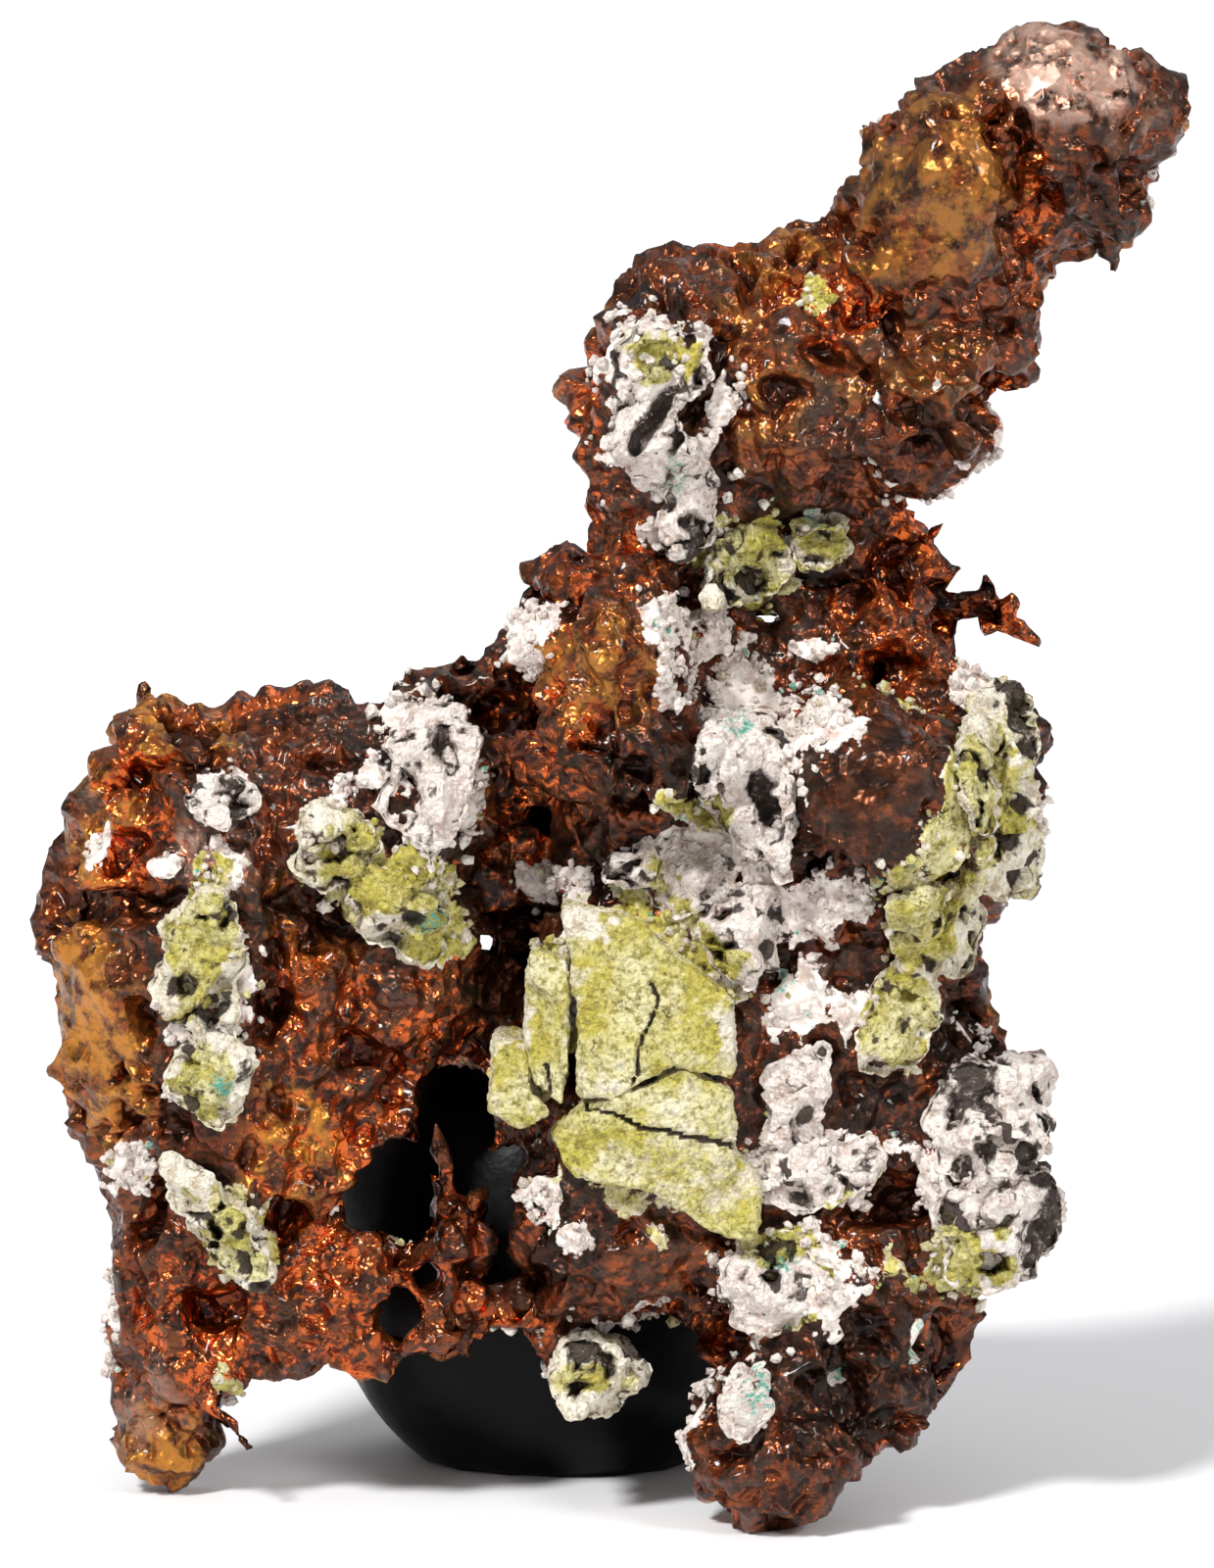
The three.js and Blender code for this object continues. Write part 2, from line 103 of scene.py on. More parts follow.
def wavy(points: np.ndarray, pitch: float, shift: float = 0.0) -> np.ndarray:
    """Smooth random heights.

    Args:
        points: places in millimetres, one per row.
        pitch: the size of a wave in millimetres.
        shift: moves the pattern, so that two of them differ.

    Returns:
        One number per place, mostly from -0.6 to 0.6.
    """
    return np.array([noise.noise(spot) for spot in (points / pitch + shift).tolist()])


def cells(points: np.ndarray, pitch: float, shift: float = 0.0) -> tuple[np.ndarray, np.ndarray]:
    """Random cells, as of a sponge.

    Args:
        points: places in millimetres, one per row.
        pitch: the width of a cell in millimetres.
        shift: moves the pattern, so that two of them differ.

    Returns:
        The distance from the nearest cell's middle, in cell widths, and that cell's own chance from 0 to 1.
    """
    found = [noise.voronoi(spot) for spot in (points / pitch + shift).tolist()]
    distance = np.array([distances[0] for distances, _ in found])
    chance = np.array([noise.cell(middles[0]) for _, middles in found])
    return distance, 0.5 + 0.5 * chance


def stirred(points: np.ndarray, pitch: float, reach: float) -> np.ndarray:
    """Moves places about at random, so that a pattern read there loses its even shapes.

    Args:
        points: places in millimetres, one per row.
        pitch: the size of a swirl in millimetres.
        reach: about how far a place moves, in millimetres.

    Returns:
        The moved places.
    """
    swirl = np.column_stack([wavy(points, pitch, 40.0 + 9.0 * axis) for axis in range(3)])
    return points + 2.0 * reach * swirl


@dataclass(frozen=True)
class FrontView:
    """Where the viewer stands. Lengths are millimetres."""

    elevation: float = 8.0
    distance: float = 620.0
    target: tuple[float, float, float] = (0.216, -12.944, 61.15)
    seen_height: float = 128.0
    sensor: float = 36.0

    @property
    def forward(self) -> np.ndarray:
        """The direction of sight."""
        tilt = math.radians(self.elevation)
        return np.array([0.0, math.cos(tilt), -math.sin(tilt)])

    @property
    def upward(self) -> np.ndarray:
        """The direction that the viewer sees as up."""
        tilt = math.radians(self.elevation)
        return np.array([0.0, math.sin(tilt), math.cos(tilt)])

    @property
    def eye(self) -> np.ndarray:
        """The viewer's own place."""
        return np.array(self.target) - self.forward * self.distance

    def seen(self, points: np.ndarray) -> np.ndarray:
        """Where places appear to the viewer.

        Args:
            points: places in millimetres, one per row.

        Returns:
            Millimetres across and up, on an upright sheet through the target.
        """
        away = points - self.eye
        scale = self.distance / (away @ self.forward)
        across = self.target[0] + away[:, 0] * scale
        rise = np.array(self.target) @ self.upward + (away @ self.upward) * scale
        return np.column_stack([across, rise])

    def facing(self, normals: np.ndarray) -> np.ndarray:
        """How far each normal looks towards the viewer, from 0 to 1."""
        return fade(-0.15, 0.3, -(normals @ self.forward))

    def place_camera(self) -> bpy.types.Object:
        """Adds the camera and makes it the scene's own.

        Returns:
            The camera.
        """
        tilt = math.radians(90.0 - self.elevation)
        bpy.ops.object.camera_add(location=Vector(self.eye * MM), rotation=(tilt, 0.0, 0.0))
        camera = bpy.context.object
        camera.name = "front_camera"
        camera.data.sensor_width = self.sensor
        camera.data.lens = self.sensor * self.distance / self.seen_height
        bpy.context.scene.camera = camera
        return camera


@dataclass(frozen=True)
class Patch:
    """A soft-edged ellipse on the front, in millimetres across and up as the viewer sees it.

    lean turns it clockwise, in degrees, and strength is how much it shows, from 0 to 1.
    """

    x: float
    up: float
    half_width: float
    half_height: float
    lean: float = 0.0
    strength: float = 1.0

    def reach(self, seen: np.ndarray) -> np.ndarray:
        """How far out each seen place lies: 0 in the middle and 1 on the edge."""
        turn = math.radians(self.lean)
        across = seen[:, 0] - self.x
        rise = seen[:, 1] - self.up
        wide = across * math.cos(turn) - rise * math.sin(turn)
        tall = across * math.sin(turn) + rise * math.cos(turn)
        return np.hypot(wide / self.half_width, tall / self.half_height)


PATCHES: dict[Skin, tuple[Patch, ...]] = {
    Skin.OCHRE: (
        Patch(-41.7, 38.8, 4.2, 10.4, -8),    # cheek of the left block
        Patch(-41.3, 52.4, 3.2, 7.2, 10),
        Patch(-34.9, 63.6, 4.8, 3.6),         # shoulder
        Patch(26.3, 107.6, 7.0, 8.4, 10, 0.55),    # block below the knob
        Patch(25.1, 91.2, 7.2, 4.8, 15, 0.3),      # upper mass
        Patch(11.5, 91.6, 4.8, 6.4, 0, 0.45),
        Patch(14.7, 101.2, 4.0, 3.2, 0, 0.7),
        Patch(-26.1, 29.2, 4.4, 5.6, -20),    # golden ridge above the skirt
        Patch(-36.1, 4.4, 4.0, 4.0),          # left foot
        Patch(0.3, 67.6, 5.6, 4.8, 0, 0.7),   # left front lump
        Patch(-22.9, 48.4, 4.0, 4.8),
    ),
    Skin.BRIGHT: (
        Patch(-19.7, 23.6, 8.8, 12.0),        # skirt
        Patch(-32.5, 14.0, 6.4, 6.4),         # left leg
        Patch(24.7, 74.0, 5.2, 7.6),          # right of the neck
        Patch(-5.3, 61.2, 3.6, 11.2, 10),     # web
        Patch(-1.3, 87.6, 2.4, 7.2),          # left edge of the upper mass
        Patch(1.1, 77.2, 5.6, 2.8),
        Patch(-38.9, 55.6, 4.0, 7.2),         # left block
        Patch(-13.3, 38.0, 4.0, 7.2),
        Patch(35.6, 106.0, 1.8, 6.4),         # groove beside the knob
        Patch(17.9, 98.0, 4.8, 3.2),          # cavity under the block
        Patch(8.3, 16.4, 4.8, 4.0),
        Patch(-7.7, 12.4, 3.2, 4.8),
        Patch(31.5, 72.4, 4.0, 3.2),          # claw
        Patch(-22.9, 39.6, 5.5, 6.0, 0, 0.6), # right of the left face
        Patch(4.7, 19.2, 4.6, 3.6, -15, 0.6), # smooth face below the slab
    ),
    # Black oxide, with painted shade under the left front lump and between the skirt and the slab.
    Skin.DARK: (
        Patch(-14.1, 58.8, 7.2, 9.6),         # boss
        Patch(32.3, 62.0, 5.6, 4.8),
        Patch(3.5, 59.6, 6.4, 3.6),           # under the left front lump
        Patch(-3.7, 24.4, 5.6, 6.4),
        Patch(21.1, 10.8, 8.8, 8.0),          # right foot
        Patch(21.1, 31.6, 5.6, 4.8),
        Patch(3.9, 96.4, 4.8, 2.8),
        Patch(13.9, 78.0, 7.2, 4.0),          # neck
        Patch(25.1, 42.0, 4.8, 6.4),
        Patch(-29.3, 44.4, 3.2, 6.4),         # left face
        Patch(-28.5, 21.2, 3.2, 3.2),
        Patch(11.5, 52.4, 3.2, 3.2),
        Patch(-2.1, 50.8, 3.2, 4.8),
        Patch(21.1, 56.4, 8.0, 8.8, 0, 0.75), # right front lump
        Patch(41.5, 107.0, 7.0, 5.5, 0, 0.7),  # lower knob
        Patch(28.0, 86.0, 7.0, 4.0, 15, 0.7),
        Patch(24.0, 73.0, 4.5, 6.0, 0, 0.4),
        Patch(-6.0, 30.0, 4.0, 9.0, 0, 0.8),   # between the skirt and the slab
        Patch(30.0, 40.0, 6.0, 8.0, 0, 0.8),
    ),
    # Painted sheen on the left block's ridge and the knob's top.
    Skin.SHEEN: (
        Patch(-31.3, 54.0, 3.2, 6.0, 15),     # ridge of the left block
        Patch(38.3, 116.8, 6.4, 3.8, 20),     # top of the knob
        Patch(-37.3, 7.6, 3.2, 3.2, 0, 0.5),
    ),
    Skin.SMOOTH: (
        Patch(26.3, 107.6, 7.2, 8.8, 10),
        Patch(38.7, 115.6, 8.0, 4.8, 15),
        Patch(4.7, 19.2, 4.8, 3.8, -15),
        Patch(-42.1, 38.0, 3.6, 8.8, -8),
        Patch(21.1, 58.8, 7.2, 7.2),
    ),
    Skin.PALE: (
        Patch(6.7, 87.6, 3.6, 8.8, 15),       # upper mass
        Patch(5.1, 84.4, 4.8, 4.8),
        Patch(3.5, 92.4, 4.0, 4.8),
        Patch(5.1, 79.6, 3.2, 1.6),
        Patch(12.3, 62.0, 4.4, 7.2, -10),     # saddle
        Patch(17.9, 63.6, 3.6, 2.4),
        Patch(17.1, 70.0, 2.4, 1.0),
        Patch(8.3, 53.2, 6.4, 2.8),           # above the slab
        Patch(10.3, 47.6, 4.8, 7.2),
        Patch(17.1, 48.4, 4.8, 2.4),
        Patch(17.9, 40.4, 4.8, 4.0),
        Patch(17.1, 27.6, 7.6, 3.4),          # right of the slab
        Patch(-4.9, 50.8, 3.2, 1.6),          # left of the slab
        Patch(-2.1, 42.8, 1.6, 7.2),
        Patch(-14.5, 60.0, 4.4, 6.8),         # boss
        Patch(-22.1, 54.8, 2.8, 4.0),
        Patch(-30.9, 58.8, 2.2, 1.6),
        Patch(-32.1, 42.0, 3.6, 11.2, 5),     # left face
        Patch(-41.7, 53.6, 1.0, 1.6),
        Patch(-36.1, 52.0, 2.0, 1.2),
        Patch(-39.3, 27.2, 2.2, 1.9),
        Patch(30.7, 66.8, 2.4, 2.8),          # cheek
        Patch(33.5, 54.8, 3.2, 5.6),
        Patch(32.3, 30.0, 6.4, 8.0),          # flank
        Patch(29.9, 25.2, 7.2, 6.4),
        Patch(15.5, 18.0, 6.0, 4.8),          # shin
        Patch(5.9, 70.0, 2.8, 4.8, -20),      # front lumps
        Patch(8.3, 71.6, 2.0, 2.4),
        Patch(-6.1, 70.8, 1.8, 3.2, 20),
        Patch(-5.0, 24.5, 1.5, 2.2),          # below the slab
        Patch(-2.2, 21.5, 1.3, 1.2),
        Patch(-0.5, 10.4, 3.8, 2.6),          # between the feet
        Patch(11.5, 8.4, 2.2, 3.6),
    ),
    Skin.GREEN: (
        Patch(4.7, 93.6, 3.2, 2.4),
        Patch(11.5, 77.6, 4.0, 3.4),          # neck
        Patch(17.5, 78.6, 2.2, 1.6),
        Patch(17.5, 98.8, 1.6, 1.8),
        Patch(-18.1, 51.6, 6.4, 4.0, 25),     # wedge
        Patch(-14.1, 46.8, 3.2, 2.8),
        Patch(-32.9, 46.0, 2.8, 6.4),         # left face
        Patch(-32.5, 34.8, 2.4, 4.0),
        Patch(-30.1, 22.0, 3.4, 4.4, -30),    # left leg
        Patch(-31.3, 10.0, 1.4, 1.1),
        Patch(29.9, 56.4, 4.0, 7.2, 25),      # cheek
        Patch(25.9, 47.6, 4.0, 4.0, 20),      # waist
        Patch(23.9, 38.8, 3.2, 5.6),
        Patch(3.5, 42.0, 7.2, 8.8, 10),       # slab
        Patch(4.3, 29.2, 8.8, 6.8, 15, 0.75),
        Patch(-4.5, 40.4, 1.8, 6.4),
        Patch(-6.9, 34.8, 2.4, 3.2),
        Patch(28.3, 19.6, 5.6, 3.2),          # flank
        Patch(-1.3, 10.0, 2.4, 1.6),
        Patch(8.3, 56.4, 3.6, 1.6),
        Patch(13.9, 21.2, 3.2, 1.6),
    ),
    Skin.TEAL: (
        Patch(22.3, 60.8, 0.6, 1.0),
        Patch(27.5, 92.0, 0.6, 0.8),
        Patch(17.1, 80.4, 1.1, 0.8),
        Patch(14.7, 42.8, 1.0, 1.4),
        Patch(14.7, 19.6, 1.1, 0.8),
        Patch(25.1, 18.0, 1.0, 0.6),
        Patch(12.3, 9.6, 1.3, 2.4),
        Patch(5.9, 84.4, 1.3, 1.6),
        Patch(-14.9, 47.6, 1.6, 1.3),
        Patch(-31.3, 34.0, 1.1, 1.1),
        Patch(10.7, 63.6, 1.0, 1.0),
        Patch(25.9, 12.4, 1.0, 2.4),
        Patch(20.3, 9.2, 1.1, 0.8),
    ),
    Skin.BARE: (
        Patch(7.9, 90.8, 0.9, 6.0, 25),       # gaps in the upper crust
        Patch(3.9, 88.4, 0.8, 4.0, 30),
        Patch(9.5, 84.4, 1.2, 2.4, 20),
        Patch(2.7, 81.2, 1.6, 1.2),
        Patch(20.3, 44.4, 2.0, 3.2, 20),      # gaps right of the slab
        Patch(14.7, 35.2, 3.0, 1.8, -20),
        Patch(21.5, 33.2, 3.4, 3.0, 30),
        Patch(13.1, 24.0, 3.6, 1.6, -15),
        Patch(23.5, 25.2, 1.6, 3.2, 15),
        Patch(28.3, 36.4, 2.4, 2.8),
        Patch(36.3, 22.0, 2.0, 3.6, 20),      # gaps in the flank
        Patch(25.1, 21.2, 1.4, 2.4),
        Patch(30.3, 34.0, 1.6, 3.6, 35),
        Patch(33.5, 28.0, 1.3, 2.4, -25),
        Patch(29.5, 27.2, 1.1, 1.6, 10),
        Patch(17.9, 37.6, 1.6, 1.4),
        Patch(15.9, 30.4, 1.2, 1.6, 30),
        Patch(9.5, 50.0, 1.4, 1.8, 40),
        Patch(-16.5, 56.4, 1.2, 3.6, 20),     # gaps in the boss
        Patch(-12.9, 61.2, 1.2, 2.4, -20),
        Patch(-31.7, 40.4, 0.9, 3.2, 15),     # gaps in the left face
        Patch(12.9, 58.0, 1.2, 2.8, -15),     # gap in the saddle
    ),
}


@dataclass(frozen=True)
class SkinMap:
    """Says how strongly each skin shows at a place on the surface."""

    view: FrontView
    edge_pitch: float = 3.0
    edge_fray: float = 0.5
    fine_pitch: float = 1.1
    fine_fray: float = 0.35
    hidden_pitch: float = 16.0
    hidden_from: dict[Skin, float] = field(default_factory=lambda: {
        Skin.OCHRE: 0.05,
        Skin.BRIGHT: 0.0,
        Skin.DARK: 0.05,
        Skin.SHEEN: 0.3,
        Skin.PALE: 0.32,
        Skin.GREEN: 0.36,
    })

    def weights(self, points: np.ndarray, normals: np.ndarray) -> dict[Skin, np.ndarray]:
        """Looks up every skin.

        The front follows the patches, and the sides and back get blotches of their own.

        Args:
            points: places in millimetres, one per row.
            normals: the surface's direction at each place.

        Returns:
            One number from 0 to 1 per place, for each skin.
        """
        seen = self.view.seen(points)
        front = self.view.facing(normals)
        fray = self.edge_fray * wavy(points, self.edge_pitch)
        fray += self.fine_fray * wavy(points, self.fine_pitch, 7.3)
        found = {}
        for number, (skin, patches) in enumerate(PATCHES.items()):
            weight = np.zeros(len(points))
            for patch in patches:
                shown = patch.strength * fade(1.2, 0.75, patch.reach(seen) + fray)
                weight = np.maximum(weight, shown)
            weight *= front
            if skin in self.hidden_from:
                start = self.hidden_from[skin]
                blotch = wavy(points, self.hidden_pitch, 3.7 * number) + 0.3 * fray
                weight = np.maximum(weight, (1.0 - front) * fade(start, start + 0.2, blotch))
            found[skin] = weight
        for skin in (Skin.PALE, Skin.GREEN):
            found[skin] = found[skin] * (1.0 - found[Skin.BARE])
        return found


def alone(piece: bpy.types.Object) -> None:
    """Makes one object the only selected one, and the active one."""
    bpy.ops.object.select_all(action="DESELECT")
    piece.select_set(True)
    bpy.context.view_layer.objects.active = piece


def copied(node: str, name: str) -> bpy.types.Object:
    """Copies a CAD node's mesh into a new object and joins its loose triangles.

    Args:
        node: the CAD node's name.
        name: the new object's name.

    Returns:
        The new object.
    """
    piece = bpy.data.objects.new(name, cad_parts[node].data.copy())
    bpy.context.scene.collection.objects.link(piece)
    piece.data.materials.clear()
    alone(piece)
    bpy.ops.object.mode_set(mode="EDIT")
    bpy.ops.mesh.select_all(action="SELECT")
    bpy.ops.mesh.remove_doubles(threshold=WELD)
    bpy.ops.object.mode_set(mode="OBJECT")
    return piece


def applied(piece: bpy.types.Object, kind: str, **settings: object) -> None:
    """Adds a modifier and applies it.

    Args:
        piece: the object that is changed.
        kind: the modifier's type.
        settings: values of the modifier's own fields.
    """
    alone(piece)
    bpy.ops.object.modifier_add(type=kind)
    modifier = piece.modifiers[-1]
    for key, value in settings.items():
        setattr(modifier, key, value)
    bpy.ops.object.modifier_apply(modifier=modifier.name)


def remeshed(piece: bpy.types.Object, voxel: float) -> None:
    """Rebuilds a mesh with faces of one size, in millimetres."""
    applied(piece, "REMESH", mode="VOXEL", voxel_size=voxel * MM, adaptivity=0.0)


def points_of(piece: bpy.types.Object) -> np.ndarray:
    """The places of an object's vertices in millimetres, one per row."""
    flat = np.empty(len(piece.data.vertices) * 3, dtype=np.float32)
    piece.data.vertices.foreach_get("co", flat)
    return flat.reshape(-1, 3).astype(float) / MM


def normals_of(piece: bpy.types.Object) -> np.ndarray:
    """The directions of an object's vertices, one per row."""
    flat = np.empty(len(piece.data.vertices) * 3, dtype=np.float32)
    piece.data.vertices.foreach_get("normal", flat)
    return flat.reshape(-1, 3).astype(float)


def move_points(piece: bpy.types.Object, points: np.ndarray) -> None:
    """Sets the places of an object's vertices, from millimetres, and keeps them above the floor."""
    points[:, 2] = np.maximum(points[:, 2], 0.0)
    piece.data.vertices.foreach_set("co", (points * MM).astype(np.float32).ravel())
    piece.data.update()


def store(piece: bpy.types.Object, name: str, values: np.ndarray) -> None:
    """Keeps one number per vertex under a name that a material can read."""
    kept = piece.data.attributes.new(name, "FLOAT", "POINT")
    kept.data.foreach_set("value", values.astype(np.float32))


def handed_over(piece: bpy.types.Object, nodes: Iterable[str] = ()) -> None:
    """Ties a finished piece to the frame.

    Args:
        piece: the finished piece.
        nodes: the CAD nodes that it stands for.
    """
    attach(piece, BODY)
    for node in nodes:
        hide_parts(node)
    LOG.info("%s: %d faces", piece.name, len(piece.data.polygons))


class NodeSheet:
    """A material under construction. Pitches and depths are millimetres."""

    def __init__(self, name: str) -> None:
        """Starts a material of that name."""
        self.material = bpy.data.materials.new(name)
        self.material.use_nodes = True
        self.nodes = self.material.node_tree.nodes
        self.links = self.material.node_tree.links
        self.shader = self.nodes["Principled BSDF"]
        self.place = self.nodes.new("ShaderNodeTexCoord").outputs["Object"]

    def feed(self, socket: Socket, source: Source) -> None:
        """Links a socket, or sets it to a plain value."""
        if isinstance(source, Socket):
            self.links.new(source, socket)
        elif isinstance(source, tuple):
            socket.default_value = (*source, 1.0)
        else:
            socket.default_value = source

    def attribute(self, name: str) -> Socket:
        """Reads one of the piece's own numbers."""
        node = self.nodes.new("ShaderNodeAttribute")
        node.attribute_name = name
        return node.outputs["Fac"]

    def cloud(self, pitch: float, detail: float = 4.0, roughness: float = 0.6) -> Socket:
        """Soft random noise from 0 to 1, with a wave of that pitch."""
        node = self.nodes.new("ShaderNodeTexNoise")
        self.feed(node.inputs["Vector"], self.place)
        self.feed(node.inputs["Scale"], 1.0 / (pitch * MM))
        self.feed(node.inputs["Detail"], detail)
        self.feed(node.inputs["Roughness"], roughness)
        return node.outputs["Fac"]

    def grain(self, pitch: float) -> Socket:
        """The distance from the middle of the nearest random grain, in grain widths."""
        node = self.nodes.new("ShaderNodeTexVoronoi")
        self.feed(node.inputs["Vector"], self.place)
        self.feed(node.inputs["Scale"], 1.0 / (pitch * MM))
        return node.outputs["Distance"]

    def ramp(self, value: Socket, low: float, high: float, to: float = 1.0) -> Socket:
        """Rises smoothly from 0 to a top value as the input goes from low to high."""
        node = self.nodes.new("ShaderNodeMapRange")
        node.interpolation_type = "SMOOTHSTEP"
        self.feed(node.inputs["Value"], value)
        self.feed(node.inputs["From Min"], low)
        self.feed(node.inputs["From Max"], high)
        self.feed(node.inputs["To Max"], to)
        return node.outputs["Result"]

    def sum(self, operation: str, first: Source, second: Source) -> Socket:
        """Works out one sum on two numbers."""
        node = self.nodes.new("ShaderNodeMath")
        node.operation = operation
        self.feed(node.inputs[0], first)
        self.feed(node.inputs[1], second)
        return node.outputs[0]

    def times(self, first: Source, second: Source) -> Socket:
        """Multiplies two numbers."""
        return self.sum("MULTIPLY", first, second)

    def paint(self, share: Source, under: Source, over: Source) -> Socket:
        """Lays one colour over another.

        Args:
            share: how much of the upper colour shows, from 0 to 1.
            under: the lower colour.
            over: the upper colour.

        Returns:
            The mixed colour.
        """
        node = self.nodes.new("ShaderNodeMix")
        node.data_type = "RGBA"
        self.feed(node.inputs["Factor"], share)
        self.feed(node.inputs[6], under)
        self.feed(node.inputs[7], over)
        return node.outputs[2]

    def between(self, share: Source, first: Source, second: Source) -> Socket:
        """Goes from a first number to a second one as the share goes from 0 to 1."""
        node = self.nodes.new("ShaderNodeMix")
        node.data_type = "FLOAT"
        self.feed(node.inputs["Factor"], share)
        self.feed(node.inputs[2], first)
        self.feed(node.inputs[3], second)
        return node.outputs[0]

    def relief(self, height: Socket, depth: float, strength: Source = 1.0) -> None:
        """Adds fine relief under the shader, on top of any that is there.

        Args:
            height: the relief, from 0 to 1.
            depth: how deep it is at full strength.
            strength: how much of it shows.
        """
        node = self.nodes.new("ShaderNodeBump")
        self.feed(node.inputs["Height"], height)
        self.feed(node.inputs["Distance"], depth * MM)
        self.feed(node.inputs["Strength"], strength)
        before = self.shader.inputs["Normal"]
        if before.is_linked:
            self.feed(node.inputs["Normal"], before.links[0].from_socket)
        self.feed(before, node.outputs["Normal"])

    def finish(self, sockets: dict[str, Source]) -> bpy.types.Material:
        """Sets the shader's sockets.

        Args:
            sockets: a value or a link for each socket, by the socket's name.

        Returns:
            The finished material.
        """
        for name, source in sockets.items():
            self.feed(self.shader.inputs[name], source)
        return self.material


@dataclass(frozen=True)
class MineralFinish:
    """Grainy rock of two minerals, with green copper bloom, dark specks, the copper's dark in bald spots,
    and painted shade in holes, cracks and between grains.
    """

    name: str
    slot: Slot
    pale: Colour = (0.90, 0.82, 0.75)
    pale_shade: Colour = (0.58, 0.45, 0.39)
    cream: Colour = (0.76, 0.70, 0.40)
    green: Colour = (0.55, 0.47, 0.08)
    green_shade: Colour = (0.27, 0.23, 0.045)
    teal: Colour = (0.13, 0.40, 0.31)
    # the dark of specks and bald spots, and the colour of painted shade in holes, cracks and between grains
    hollow: Colour = (0.03, 0.015, 0.010)
    roughness: float = 0.72
    specular: float = 0.35

    def colour(self, sheet: NodeSheet) -> Socket:
        """Mixes the rock's colour on a sheet.

        Args:
            sheet: the material under construction.

        Returns:
            The colour before hollows are darkened.
        """
        blotch = sheet.ramp(sheet.cloud(1.4, 7.0, 0.75), 0.36, 0.54)
        sugar = sheet.cloud(0.7, 6.0, 0.75)
        broad = sheet.ramp(sheet.cloud(5.0, 4.0, 0.6), 0.36, 0.6)
        white = sheet.paint(blotch, self.pale_shade, self.pale)
        yellow = sheet.paint(broad, self.cream, self.green)
        olive = sheet.paint(sheet.ramp(sugar, 0.38, 0.54), self.green_shade, yellow)
        olive = sheet.paint(sheet.ramp(sugar, 0.55, 0.68), olive, self.cream)
        greenness = sheet.times(sheet.attribute(Skin.GREEN.value), 0.8)
        edge = sheet.sum("ADD", greenness, sheet.times(sheet.cloud(1.3, 7.0, 0.75), 0.9))
        rock = sheet.paint(sheet.ramp(edge, 0.8, 1.15), white, olive)
        flecks = sheet.ramp(sheet.cloud(0.7, 5.0, 0.7), 0.46, 0.56)
        bloom = sheet.times(sheet.attribute(Skin.TEAL.value), flecks)
        return sheet.paint(bloom, rock, self.teal)

    def material(self) -> bpy.types.Material:
        """Makes the material."""
        sheet = NodeSheet(self.name)
        rock = self.colour(sheet)
        specks = sheet.ramp(sheet.cloud(1.1, 6.0, 0.75), 0.61, 0.67, 0.8)
        # the pit attribute brings painted shade in holes, cracks and between grains, and the copper's dark
        # in bald spots; specks are random dark grains
        shade_and_bald = sheet.sum("ADD", sheet.attribute("pit"), sheet.times(sheet.cloud(1.0, 7.0, 0.75), 1.1))
        specks_and_shade = sheet.sum("MAXIMUM", specks, sheet.ramp(shade_and_bald, 0.88, 1.12, 0.95))
        sheet.relief(sheet.cloud(0.5, 5.0, 0.7), 0.3)
        sheet.relief(sheet.grain(0.4), 0.22)
        return sheet.finish({
            "Base Color": sheet.paint(specks_and_shade, rock, self.hollow),
            "Roughness": self.roughness,
            "Specular IOR Level": self.specular,
        })


